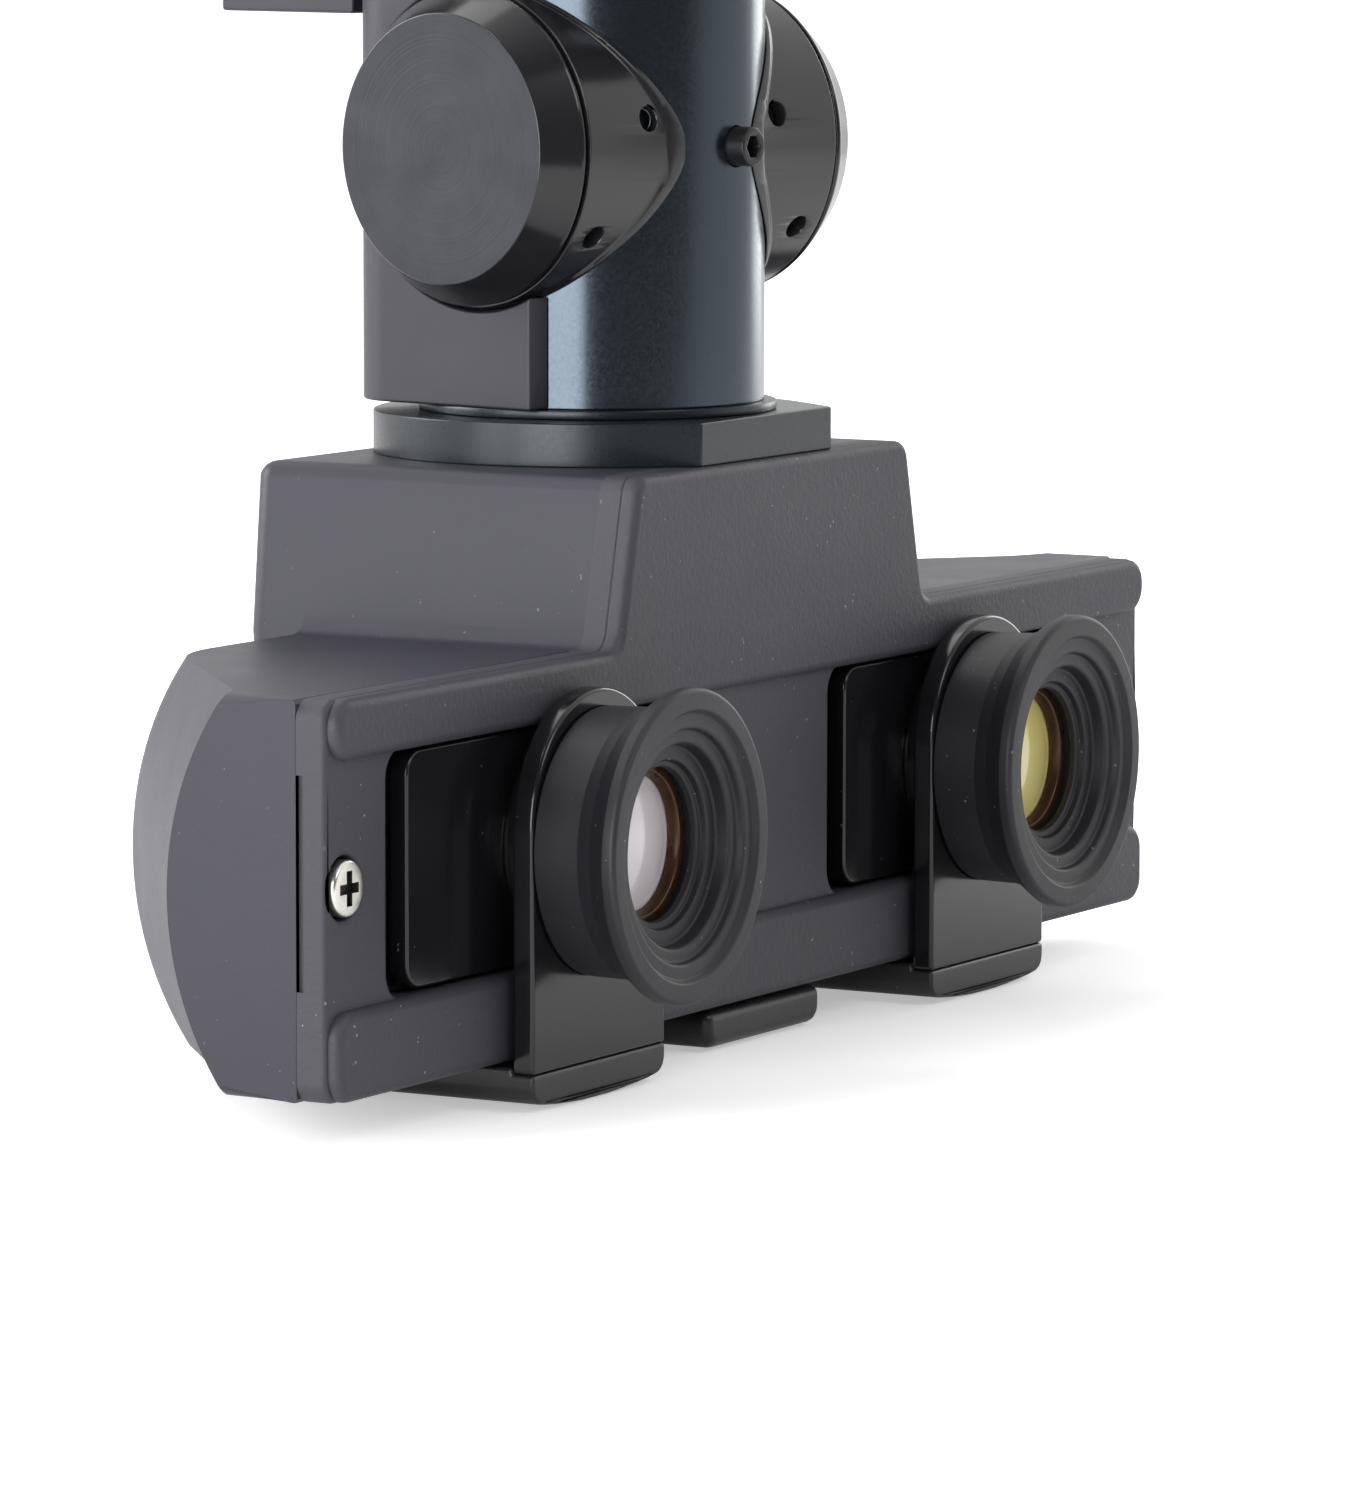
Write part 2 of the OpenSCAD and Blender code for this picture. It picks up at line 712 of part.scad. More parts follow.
// Eyepiece lens, domed on the examiner's side inside its ring
module ocular() {
    dome_edge_r = seat_r - lens_ring_wall - 2 * fit_gap;
    translate([0, ocular_y, eye_z]) {
        rod_y_axis(seat_r - fit_gap, ocular_t - fit_gap);
        intersection() {
            translate([0, sqrt(ocular_dome_r * ocular_dome_r - dome_edge_r * dome_edge_r), 0])
                sphere(r = ocular_dome_r, $fn = round_fn);
            translate([0, -ocular_t, 0]) rod_y_axis(dome_edge_r, ocular_t + overrun);
        }
    }
}

module ocular_left() {
    color("lightgray", 0.6) on_left() ocular();
}

module ocular_right() {
    color("khaki", 0.6) on_right() ocular();
}

// Threaded ring that holds the lens against the barrel's step
module lens_ring() {
    translate([0, ocular_y - lens_ring_t, eye_z]) difference() {
        rod_y_axis(seat_r - fit_gap, lens_ring_t - fit_gap);
        translate([0, -overrun, 0])
            rod_y_axis(seat_r - fit_gap - lens_ring_wall, lens_ring_t + 2 * overrun);
    }
}

module lens_ring_left() {
    color("#5a3d28") on_left() lens_ring();
}

module lens_ring_right() {
    color("#5a3d28") on_right() lens_ring();
}

arm_share = 0.4;

// Inner carriage: back plate on the guide rods, and two arms that hold the outer mirror
module carriage() {
    low = channel_low - 2 * rod_r;
    high = channel_high + rod_r;
    arm_t = 2 * rod_r + wall;
    arm_end = optic_y + mirror_half * arm_share;
    difference() {
        union() {
            bar(2 * bracket_r, barrel_in, rod_y - rod_r, low + wall / 2, high);
            for (z = [channel_low + rod_r, channel_high - rod_r])
                bar(2 * bracket_r - 2 * wall, rod_y - rod_r - overrun, arm_end, z - arm_t / 2, z + arm_t / 2);
            translate([0, optic_y, 0]) rotate([0, 0, -45])
                translate([0, mirror_t + fit_gap, 0])
                    bar(2 * mirror_half, 0, wall, channel_low + rod_r, channel_high - rod_r);
        }
        translate([0, barrel_in - overrun, eye_z]) rod_y_axis(barrel_r + fit_gap, rod_y);
        for (z = [channel_low + rod_r, channel_high - rod_r])
            translate([-2 * bracket_r, rod_y, z]) rod_x_axis(rod_r + turn_gap, 4 * bracket_r);
    }
}

module carriage_left() {
    color("#3a3a3e") on_left() carriage();
}

module carriage_right() {
    color("#3a3a3e") on_right() carriage();
}

module outer_mirror() {
    low = channel_low + rod_r + (2 * rod_r + wall) / 2 + fit_gap;
    high = channel_high - rod_r - (2 * rod_r + wall) / 2 - fit_gap;
    translate([0, optic_y, 0]) rotate([0, 0, -45]) bar(2 * mirror_half, 0, mirror_t, low, high);
}

module outer_mirror_left() {
    color("gainsboro") on_left() outer_mirror();
}

module outer_mirror_right() {
    color("gainsboro") on_right() outer_mirror();
}

// Friction washer between the ring and the turning tower
module swivel_washer() {
    color("#15181a") tower_frame() translate([0, 0, ring_top + fit_gap]) difference() {
        cylinder(r = tube_r + tube_wall / 2, h = washer_h, $fn = round_fn);
        translate([0, 0, -overrun]) cylinder(r = spigot_r + fit_gap, h = washer_h + 2 * overrun, $fn = round_fn);
    }
}

nut_z = deck_h - wall - run_gap;
nut_h = 3.2;
nut_r = spigot_r + wall + run_gap;
wire_r = 4;
boss_r = 6;

// Light tube with its spigot, floor and the two side holes for the hubs
module tower_tube() {
    color("#1c262b") tower_frame() difference() {
        union() {
            translate([0, 0, tube_z]) cylinder(r = tube_r, h = tube_h, $fn = round_fn);
            translate([0, 0, nut_z - nut_h]) cylinder(r = spigot_r, h = tube_z - nut_z + nut_h, $fn = round_fn);
        }
        translate([0, 0, tube_z + tube_wall]) cylinder(r = tube_bore, h = tube_h, $fn = round_fn);
        translate([0, 0, nut_z - nut_h - overrun]) cylinder(r = wire_r, h = deck_h, $fn = round_fn);
        translate([-tube_r - overrun, 0, knob_z]) rod_x_axis(boss_r, 2 * (tube_r + overrun));
        translate([0, 0, knob_z]) {
            rotate([0, 0, set_turn])
                translate([0, -tube_r - overrun, 0]) rod_y_axis(set_r + fit_gap, tube_wall + 2 * overrun);
            for (s = [0, 1]) mirror([s, 0, 0]) hub_screw_frames() translate([0, 0, -hub_screw_depth])
                cylinder(r = hub_screw_r, h = hub_screw_depth + overrun, $fn = round_fn);
        }
    }
}

module swivel_nut() {
    color("dimgray") tower_frame() translate([0, 0, nut_z - nut_h]) difference() {
        cylinder(r = nut_r, h = nut_h, $fn = 6);
        translate([0, 0, -overrun]) cylinder(r = spigot_r + fit_gap, h = nut_h + 2 * overrun, $fn = round_fn);
    }
}

// Square casing that wraps the patient's side of the tube
module front_casing() {
    color("#3c3a40") tower_frame() difference() {
        translate([0, 0, tube_z]) linear_extrude(tube_h) polygon(rounded([
            [-casing_half, -casing_rear, 0],
            [casing_half, -casing_rear, 0],
            [casing_half, casing_front, casing_r],
            [-casing_half, casing_front, casing_r]]));
        translate([0, 0, tube_z - overrun])
            cylinder(r = tube_r + fit_gap, h = tube_h + 2 * overrun, $fn = round_fn);
        translate([-casing_half - overrun, 0, knob_z])
            rod_x_axis(saddle_r + fit_gap, 2 * (casing_half + overrun));
        bar(2 * (casing_half + overrun), -casing_rear - overrun, 0, knob_z, tube_top + overrun);
    }
}

// Places of the radial hub screws: distance along the knob axis and turn round it
hub_screw_r = 1;
hub_screw_depth = 3;
hub_screw_share = 0.6;
hub_screw_out = 12.3;
hub_screw_in = 7.8;
hub_screw_places = [[hub_screw_out, 123], [hub_screw_in, 79]];

module hub_screw_frames() {
    for (p = hub_screw_places) translate([p[0], 0, 0]) rotate([p[1], 0, 0])
        translate([0, 0, hub_r]) children();
}

// Saddle hub that guides the knob shaft, drawn for the +X side
module hub() {
    translate([0, 0, knob_z]) difference() {
        union() {
            difference() {
                union() {
                    rod_x_axis(hub_r, hub_out);
                    intersection() {
                        rod_x_axis(saddle_r, hub_out);
                        translate([0, 0, -knob_z]) cylinder(r = tube_r + bracket_gap, h = 2 * knob_z, $fn = round_fn);
                    }
                }
                translate([0, 0, -knob_z]) cylinder(r = tube_r + fit_gap, h = 2 * knob_z, $fn = round_fn);
            }
            translate([drum_end + run_gap, 0, 0]) rod_x_axis(boss_r - fit_gap, hub_out - drum_end - run_gap);
        }
        rod_x_axis(shaft_r + turn_gap, hub_out + overrun);
        hub_screw_frames() translate([0, 0, -hub_screw_depth])
            cylinder(r = hub_screw_r, h = hub_screw_depth + overrun, $fn = round_fn);
    }
}

module hub_left() {
    color("#0e0f11") tower_frame() mirror([1, 0, 0]) hub();
}

module hub_right() {
    color("#0e0f11") tower_frame() hub();
}

// Socket grub screws in the hubs
module hub_screws() {
    color("#33363a") tower_frame() for (s = [0, 1]) mirror([s, 0, 0]) translate([0, 0, knob_z])
        hub_screw_frames() translate([0, 0, -hub_screw_depth])
            cylinder(r = hub_screw_r - fit_gap, h = hub_screw_depth * hub_screw_share, $fn = round_fn);
}

set_r = 1.6;
set_turn = 8;
set_out = 1.6;
socket_share = 0.6;

// Socket set screw in the rear of the tube
module tube_screw() {
    color("#222426") tower_frame() translate([0, 0, knob_z]) rotate([0, 0, set_turn])
        translate([0, -tube_r - set_out, 0]) difference() {
            rod_y_axis(set_r, set_out + tube_wall);
            translate([0, -overrun, 0]) rod_y_axis(set_r * socket_share, overrun + set_out, 6);
        }
}

slug_h = 3;
board_h = 1.2;
emitter_h = 1;
slug_z = tube_z + tube_wall;
board_z = slug_z + slug_h;
emitter_z = board_z + board_h;
cell_z = emitter_z + emitter_h + run_gap;
cell_top = knob_z - aperture_drum_r - run_gap;
cell_bore = 6.5;
emitter_share = 0.6;
chip_share = 0.4;
condenser_share = 1.5;

module lamp_slug() {
    color("silver") tower_frame() translate([0, 0, slug_z]) difference() {
        cylinder(r = tube_bore - fit_gap, h = slug_h, $fn = round_fn);
        translate([spigot_r, 0, -overrun]) cylinder(r = tube_wall / 2, h = slug_h + 2 * overrun, $fn = round_fn);
    }
}

module lamp_board() {
    color("seagreen") tower_frame() translate([0, 0, board_z])
        cylinder(r = spigot_r - overrun, h = board_h, $fn = round_fn);
}

module lamp_emitter() {
    side = 2 * wire_r * emitter_share;
    color("khaki") tower_frame() translate([0, 0, emitter_z]) {
        translate([-side / 2, -side / 2, 0]) cube([side, side, emitter_h * emitter_share]);
        cylinder(r = side * chip_share, h = emitter_h, $fn = round_fn);
    }
}

module condenser_cell() {
    color("#2a2a2c") tower_frame() difference() {
        union() {
            translate([0, 0, cell_z]) cylinder(r = tube_bore - fit_gap, h = cell_top - cell_z, $fn = round_fn);
            translate([0, 0, board_z]) difference() {
                cylinder(r = tube_bore - fit_gap, h = cell_z - board_z, $fn = round_fn);
                translate([0, 0, -overrun])
                    cylinder(r = spigot_r - overrun + fit_gap, h = cell_z, $fn = round_fn);
            }
        }
        translate([0, 0, cell_z - overrun]) cylinder(r = cell_bore - wall / 2, h = tube_h, $fn = round_fn);
        translate([0, 0, cell_z + overrun]) cylinder(r = cell_bore, h = tube_h, $fn = round_fn);
    }
}

module condenser_lens() {
    color("lightcyan", 0.5) tower_frame() translate([0, 0, cell_z + overrun]) intersection() {
        cylinder(r = cell_bore - fit_gap, h = cell_top - cell_z - overrun, $fn = round_fn);
        translate([0, 0, -cell_bore * condenser_share + cell_top - cell_z - overrun])
            sphere(r = cell_bore * condenser_share, $fn = round_fn);
    }
}

drum_end = sqrt(tube_bore * tube_bore - aperture_drum_r * aperture_drum_r) - run_gap;
shaft_reach = hub_out + run_gap + knob_t / 2;

// Turning drum on the +X side: a cup whose closed end carries the knob shaft
module drum(r, reach_in) {
    translate([0, 0, knob_z]) difference() {
        union() {
            translate([-reach_in, 0, 0]) rod_x_axis(r, reach_in + drum_end);
            rod_x_axis(shaft_r, shaft_reach);
        }
        translate([-reach_in - overrun, 0, 0]) rod_x_axis(r - drum_wall, reach_in + overrun + drum_end - drum_wall);
        children();
    }
}

module drum_holes(radii) {
    for (i = [0:2]) rotate([i * drum_step, 0, 0])
        translate([0, 0, -tube_r]) cylinder(r = radii[i], h = 2 * tube_r, $fn = round_fn);
}

drum_overlap = drum_end - drum_wall - run_gap;
// Turn from one aperture or filter to the next, in degrees
drum_step = 60;

module aperture_drum() {
    color("#303236") tower_frame() mirror([1, 0, 0])
        drum(aperture_drum_r, drum_overlap) drum_holes(aperture_radii);
}

module filter_drum() {
    color("#45484c") tower_frame() drum(filter_drum_r, drum_overlap)
        drum_holes(filter_radii);
}

// Three filter glasses in the wall of the filter drum
module filter_glasses() {
    color("green", 0.5) tower_frame() translate([0, 0, knob_z]) intersection() {
        for (i = [0:2]) rotate([i * drum_step, 0, 0])
            cylinder(r = filter_radii[i] - fit_gap, h = tube_r, $fn = round_fn);
        difference() {
            translate([-tube_r, 0, 0]) rod_x_axis(filter_drum_r, 2 * tube_r);
            translate([-tube_r - overrun, 0, 0]) rod_x_axis(filter_drum_r - drum_wall, 2 * (tube_r + overrun));
        }
    }
}

// Side knob, wider at its hub than at its face
module knob() {
    translate([hub_out + run_gap, 0, knob_z]) difference() {
        rotate([0, 90, 0]) cylinder(r1 = hub_r, r2 = knob_face_r, h = knob_t, $fn = round_fn);
        translate([-overrun, 0, 0]) rod_x_axis(shaft_r + fit_gap, overrun + knob_t / 2 + fit_gap);
    }
}

module aperture_knob() {
    color("#4a4d52") tower_frame() mirror([1, 0, 0]) knob();
}

module filter_knob() {
    color("#4a4d52") tower_frame() knob();
}

seat_z = knob_z + aperture_drum_r + run_gap;
lens_r = 5.5;
lens_t = 2;
exit_t = 1.2;
post_r = screw_r + wall / 2;
post_len = 4.3;
holder_half = 7.5;
holder_len = 11;
tilt_knob_t = 2;
rear_post_x = head_half / 2;
rear_post_in = tube_r - head_wall - wall / 2;

// Places of the lid screws, at the height of the lid's top
module lid_screw_frames() {
    for (s = [-1, 1]) {
        translate([s * (head_half - 2 * head_wall), head_front - exit_t - 2 * head_wall, head_top + head_wall])
            children();
        translate([s * rear_post_x, -sqrt(rear_post_in * rear_post_in - rear_post_x * rear_post_x),
            head_top + head_wall]) children();
    }
}

// Footprint of the head, drawn in by the margin: round at the rear like the tube, straight in front
module head_block(m, front, z0, z1) {
    intersection() {
        bar(2 * (head_half - m), -tube_r, front, z0, z1);
        union() {
            translate([0, 0, z0]) cylinder(r = tube_r - m, h = z1 - z0, $fn = round_fn);
            bar(2 * tube_r, 0, front, z0, z1);
        }
    }
}

// Head on top of the tube: floor with a lens seat, cheeks, rear wall, screw posts and arm lug
module lamp_head() {
    color("#2f2e33") tower_frame() difference() {
        union() {
            difference() {
                head_block(0, head_front, head_z, head_top);
                head_block(head_wall, head_front + overrun, head_z + head_wall, head_top + overrun);
            }
            intersection() {
                lid_screw_frames() translate([0, 0, -head_h])
                    cylinder(r = post_r, h = head_h - head_wall, $fn = round_fn);
                head_block(fit_gap, head_front, head_z, head_top);
            }
            translate([0, 0, seat_z]) {
                cylinder(r = tube_bore - fit_gap, h = head_z - seat_z, $fn = round_fn);
                cylinder(r = head_half - head_wall, h = head_z + head_wall - seat_z, $fn = round_fn);
            }
            translate([-arm_lug_w / 2, -tube_r - 2 * arm_bore_r, mirror_z]) rod_x_axis(2 * arm_bore_r, arm_lug_w);
            bar(arm_lug_w, -tube_r - 2 * arm_bore_r, -tube_r + head_wall,
                mirror_z - 2 * arm_bore_r, mirror_z + 2 * arm_bore_r);
        }
        translate([0, 0, seat_z - overrun]) cylinder(r = lens_r - wall / 2, h = head_h, $fn = round_fn);
        translate([0, 0, seat_z + overrun]) cylinder(r = lens_r, h = head_h, $fn = round_fn);
        bar(2 * (holder_half + run_gap), -holder_len / 2, holder_len / 2, head_z + run_gap, head_top + overrun);
        translate([-head_half - overrun, 0, mirror_z])
            rod_x_axis(tilt_shaft_r + turn_gap, 2 * (head_half + overrun));
        translate([-arm_lug_w, -tube_r - 2 * arm_bore_r, mirror_z]) rod_x_axis(arm_bore_r, 2 * arm_lug_w);
        lid_screw_frames() translate([0, 0, -post_len - head_wall])
            cylinder(r = screw_r + fit_gap, h = head_h, $fn = round_fn);
    }
}

module projection_lens() {
    color("lightcyan", 0.5) tower_frame() translate([0, 0, seat_z + overrun])
        cylinder(r = lens_r - fit_gap, h = lens_t, $fn = round_fn);
}

// Open hood that shades the light outlet
module light_hood() {
    color("#2f2e33") tower_frame() difference() {
        bar(2 * hood_half, head_front, hood_end, head_z - hood_drop, head_top);
        bar(2 * (hood_half - head_wall), head_front - overrun, hood_end + overrun,
            head_z + head_wall - hood_drop, head_top - head_wall);
    }
}

module exit_window() {
    color("lightcyan", 0.4) tower_frame()
        bar(2 * (head_half - head_wall - fit_gap), head_front - exit_t, head_front,
            head_z + head_wall + fit_gap, head_top - fit_gap);
}

module head_lid() {
    color("#2f2e33") tower_frame() difference() {
        head_block(0, head_front, head_top, head_top + head_wall);
        lid_screw_frames() translate([0, 0, -head_wall - overrun])
            cylinder(r = screw_r + fit_gap, h = head_wall + 2 * overrun, $fn = round_fn);
    }
}

module lid_screws() {
    color("silver") tower_frame() lid_screw_frames() rotate([-90, 0, 0])
        pan_screw(screw_r, screw_head_r, screw_head_h, head_wall + post_len - fit_gap);
}

// Tilting mirror over the tube, turned by the knob on the head's left side
module tilt_shaft() {
    color("silver") tower_frame() translate([-head_half - run_gap - tilt_knob_t / 2, 0, mirror_z])
        rod_x_axis(tilt_shaft_r, 2 * head_half + run_gap + tilt_knob_t / 2 + head_wall / 2);
}

module tilt_knob() {
    color("silver") tower_frame() translate([-head_half - run_gap - tilt_knob_t, 0, mirror_z]) difference() {
        rod_x_axis(tilt_knob_r, tilt_knob_t);
        translate([tilt_knob_t / 2 - fit_gap, 0, 0]) rod_x_axis(tilt_shaft_r + fit_gap, tilt_knob_t);
    }
}

module mirror_holder() {
    color("#3a3a3e") tower_frame() translate([0, 0, mirror_z]) difference() {
        rotate([45, 0, 0]) translate([-holder_half, -holder_len / 2, -wall])
            cube([2 * holder_half, holder_len, 2 * wall]);
        translate([-holder_half - overrun, 0, 0]) rod_x_axis(tilt_shaft_r + fit_gap, 2 * (holder_half + overrun));
    }
}

module lamp_mirror() {
    color("gainsboro") tower_frame() translate([0, 0, mirror_z]) rotate([45, 0, 0])
        translate([-holder_half, -holder_len / 2, -wall - mirror_t])
            cube([2 * holder_half, holder_len, mirror_t]);
}

front_shell();
rear_cover();
cover_screws();
patient_window();
window_bezel();
guide_rods();
base_ring();
prism_table();
centre_prism();
finger_slide();
slide_plate_left();
bracket_left();
foot_left();
barrel_left();
eyecup_left();
ocular_left();
lens_ring_left();
carriage_left();
outer_mirror_left();
slide_plate_right();
bracket_right();
foot_right();
barrel_right();
eyecup_right();
ocular_right();
lens_ring_right();
carriage_right();
outer_mirror_right();
swivel_washer();
tower_tube();
swivel_nut();
front_casing();
hub_left();
hub_right();
hub_screws();
tube_screw();
lamp_slug();
lamp_board();
lamp_emitter();
condenser_cell();
condenser_lens();
projection_lens();
lamp_head();
light_hood();
exit_window();
head_lid();
lid_screws();
aperture_knob();
aperture_drum();
filter_knob();
filter_drum();
filter_glasses();
tilt_shaft();
tilt_knob();
mirror_holder();
lamp_mirror();
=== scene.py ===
"""Indirect ophthalmoscope: the viewing block on its feet, and the light tower that turns on its deck."""
import math
import bmesh
import bpy
from mathutils import Matrix, Vector


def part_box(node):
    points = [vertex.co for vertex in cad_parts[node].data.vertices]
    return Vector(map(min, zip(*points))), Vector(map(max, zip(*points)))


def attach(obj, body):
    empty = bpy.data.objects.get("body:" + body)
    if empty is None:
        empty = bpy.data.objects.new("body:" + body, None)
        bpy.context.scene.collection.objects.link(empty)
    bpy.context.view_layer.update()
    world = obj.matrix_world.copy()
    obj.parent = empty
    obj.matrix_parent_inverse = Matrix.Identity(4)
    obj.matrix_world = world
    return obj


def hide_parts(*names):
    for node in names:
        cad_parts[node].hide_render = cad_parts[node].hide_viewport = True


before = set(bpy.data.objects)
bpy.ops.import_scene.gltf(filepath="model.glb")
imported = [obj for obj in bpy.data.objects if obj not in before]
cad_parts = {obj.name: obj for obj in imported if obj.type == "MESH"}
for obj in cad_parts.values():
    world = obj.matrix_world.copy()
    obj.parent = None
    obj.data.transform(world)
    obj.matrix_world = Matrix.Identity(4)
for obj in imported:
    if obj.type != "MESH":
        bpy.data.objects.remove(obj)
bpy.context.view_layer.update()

# The studio: a white table under a bright, even room, seen by a long lens from the examiner's left.
# The lens, distance and angles are those that bring the block onto the photograph.
mm = 0.001
rear_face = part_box("rear_cover")[0].y
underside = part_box("front_shell")[0].z

camera_turn, camera_rise, camera_roll = math.radians(-60.752), math.radians(6.542), math.radians(0.094)
back = Vector((math.sin(camera_turn) * math.cos(camera_rise),
               -math.cos(camera_turn) * math.cos(camera_rise), math.sin(camera_rise)))
level = (-back).cross(Vector((0, 0, 1))).normalized()
upward = level.cross(-back)
side = level * math.cos(camera_roll) + upward * math.sin(camera_roll)
top = upward * math.cos(camera_roll) - level * math.sin(camera_roll)
aim = Vector((-15.985 * mm, rear_face, 21.525 * mm + underside))
camera_distance = 647.84
place = aim + back * camera_distance * mm
camera = bpy.data.cameras.new("photo_camera")
camera.lens = 196.17
camera.sensor_width = 36
camera.clip_end = 20
camera_object = bpy.data.objects.new("photo_camera", camera)
camera_object.matrix_world = Matrix((
    (side.x, top.x, back.x, place.x), (side.y, top.y, back.y, place.y),
    (side.z, top.z, back.z, place.z), (0, 0, 0, 1)))
bpy.context.scene.collection.objects.link(camera_object)
bpy.context.scene.camera = camera_object
bpy.context.scene.view_settings.view_transform = "Standard"


class Value:
    """The output of a shader node, which Python's operators join to others."""

    def __init__(self, finish, socket):
        self.finish, self.socket = finish, socket

    def join(self, operation, first, second):
        return self.finish.node("Math", {0: first, 1: second}, operation=operation)

    def __add__(self, other): return self.join("ADD", self, other)
    def __radd__(self, other): return self.join("ADD", other, self)
    def __sub__(self, other): return self.join("SUBTRACT", self, other)
    def __rsub__(self, other): return self.join("SUBTRACT", other, self)
    def __mul__(self, other): return self.join("MULTIPLY", self, other)
    def __rmul__(self, other): return self.join("MULTIPLY", other, self)


class Finish:
    """One real surface finish. Patterns are measured in millimetres on the object."""

    def __init__(self, name, world=None, **constants):
        self.material = world or bpy.data.materials.new(name)
        self.material.use_nodes = True
        self.tree = self.material.node_tree
        if world:
            self.tree.nodes.clear()
            return
        self.shader = self.tree.nodes["Principled BSDF"]
        for socket, value in constants.items():
            self.shader.inputs[socket.replace("_", " ")].default_value = value
        place = self.node("TexCoord", output="Object")
        self.mm = self.node("VectorMath", {0: place, 3: 1000.0}, operation="SCALE")

    def node(self, kind, inputs=None, output=0, **settings):
        made = self.tree.nodes.new("ShaderNode" + kind)
        for setting, value in settings.items():
            setattr(made, setting, value)
        for socket, value in (inputs or {}).items():
            if isinstance(value, Value):
                self.tree.links.new(value.socket, made.inputs[socket])
            else:
                made.inputs[socket].default_value = value
        return Value(self, made.outputs[output])

    def noise(self, size, detail=2.0, rough=0.5, place=None):
        return self.node("TexNoise", {"Vector": place or self.mm, "Scale": 1 / size, "Detail": detail,
                                      "Roughness": rough}, output="Fac")

    def between(self, value, low, high, start=0.0, end=1.0):
        return self.node("MapRange", {0: value, 1: low, 2: high, 3: start, 4: end})

    def mix(self, share, first, second):
        return self.node("Mix", {0: share, 6: first, 7: second}, output=2, data_type="RGBA")

    def feed(self, **sockets):
        for socket, value in sockets.items():
            self.tree.links.new(value.socket, self.shader.inputs[socket.replace("_", " ")])
        return self

    def relief(self, height, depth):
        return self.node("Bump", {"Height": height, "Distance": depth * mm, "Strength": 1.0})


sky = Finish("room", world=bpy.data.worlds.new("room"))
rays = sky.tree.nodes.new("ShaderNodeLightPath")
seen = sky.node("Math", {0: Value(sky, rays.outputs["Is Camera Ray"]),
                         1: Value(sky, rays.outputs["Is Transmission Ray"])}, operation="MAXIMUM")
mirrored = Value(sky, rays.outputs["Is Glossy Ray"])
way = sky.node("TexCoord", output="Generated")
facing = sky.node("VectorMath", {0: way, 1: (back.x, back.y, 0)}, output=1, operation="DOT_PRODUCT")
behind_camera = sky.between(facing, -0.1, 0.45)
room_light, far_glow, camera_side_shade = 0.6, 1.0, 0.88
room = (room_light + (far_glow - room_light) * mirrored) * (1 - camera_side_shade * behind_camera)
glow = sky.node("Background", {"Color": (1, 1, 1, 1), "Strength": room * (1 - seen) + seen})
sky.tree.links.new(glow.socket, sky.tree.nodes.new("ShaderNodeOutputWorld").inputs["Surface"])
bpy.context.scene.world = sky.material

table = Finish("white_table", Roughness=0.9, Specular_IOR_Level=0.1)
speckle = table.noise(40, 2)
table.feed(Base_Color=table.mix(speckle, (0.93, 0.93, 0.94, 1), (0.97, 0.97, 0.98, 1)))
# The table glows to camera rays, and to glossy rays at a share, more strongly with distance from the
# object: a painted brightening of the floor that is weakest near the object, where its shadow falls.
table_rays = table.tree.nodes.new("ShaderNodeLightPath")
mirrored_share = 0.4
shown = (Value(table, table_rays.outputs["Is Camera Ray"])
         + mirrored_share * Value(table, table_rays.outputs["Is Glossy Ray"]))
away = table.node("VectorMath", {0: table.mm}, output=1, operation="LENGTH")
painted_glow_strength = table.between(away, 40, 140, 0.42, 1.0) * shown
painted_floor_glow = table.node("Emission", {"Color": (1, 1, 1, 1), "Strength": painted_glow_strength})
both = table.node("AddShader", {0: Value(table, table.shader.outputs[0]), 1: painted_floor_glow})
table.tree.links.new(both.socket, table.tree.nodes["Material Output"].inputs["Surface"])
table_half, front_margin = 3.0, 0.3
bm = bmesh.new()
bmesh.ops.create_grid(bm, x_segments=1, y_segments=1, size=table_half)
bmesh.ops.rotate(bm, cent=(0, 0, 0), matrix=Matrix.Rotation(camera_turn, 3, "Z"), verts=bm.verts)
bmesh.ops.translate(bm, vec=Vector((back.x, back.y, 0)) * (front_margin - table_half), verts=bm.verts)
floor_mesh = bpy.data.meshes.new("table")
bm.to_mesh(floor_mesh)
bm.free()
floor_mesh.materials.append(table.material)
floor = bpy.data.objects.new("table", floor_mesh)
bpy.context.scene.collection.objects.link(floor)

lamp_aim = Vector((0, 0, 0.05))
# name, turn and rise in degrees, distance, width and height in metres, power in watts
for name, turn, rise, distance, width, height, power in (
        ("window_softbox", -85, 3, 0.9, 0.5, 0.6, 6.5),
        ("side_softbox", -115, 8, 0.9, 0.3, 0.5, 2.5),
        ("key_softbox", -163, 20, 0.9, 0.45, 0.5, 5.0),
        ("overhead_softbox", 150, 65, 0.9, 0.6, 0.4, 1.2),
        ("spot_softbox", -119, 52, 0.9, 0.2, 0.2, 1.0),
        ("front_softbox", -8, 38, 0.9, 0.4, 0.4, 1.6),
        ("far_softbox", 84, 10, 1.0, 0.35, 0.6, 2.2)):
    lamp = bpy.data.lights.new(name, "AREA")
    lamp.shape, lamp.size, lamp.size_y, lamp.energy = "RECTANGLE", width, height, power
    softbox = bpy.data.objects.new(name, lamp)
    turn, rise = math.radians(turn), math.radians(rise)
    outward = Vector((math.sin(turn) * math.cos(rise), -math.cos(turn) * math.cos(rise), math.sin(rise)))
    softbox.location = outward * distance + lamp_aim
    softbox.rotation_euler = outward.to_track_quat("Z", "Y").to_euler()
    bpy.context.scene.collection.objects.link(softbox)

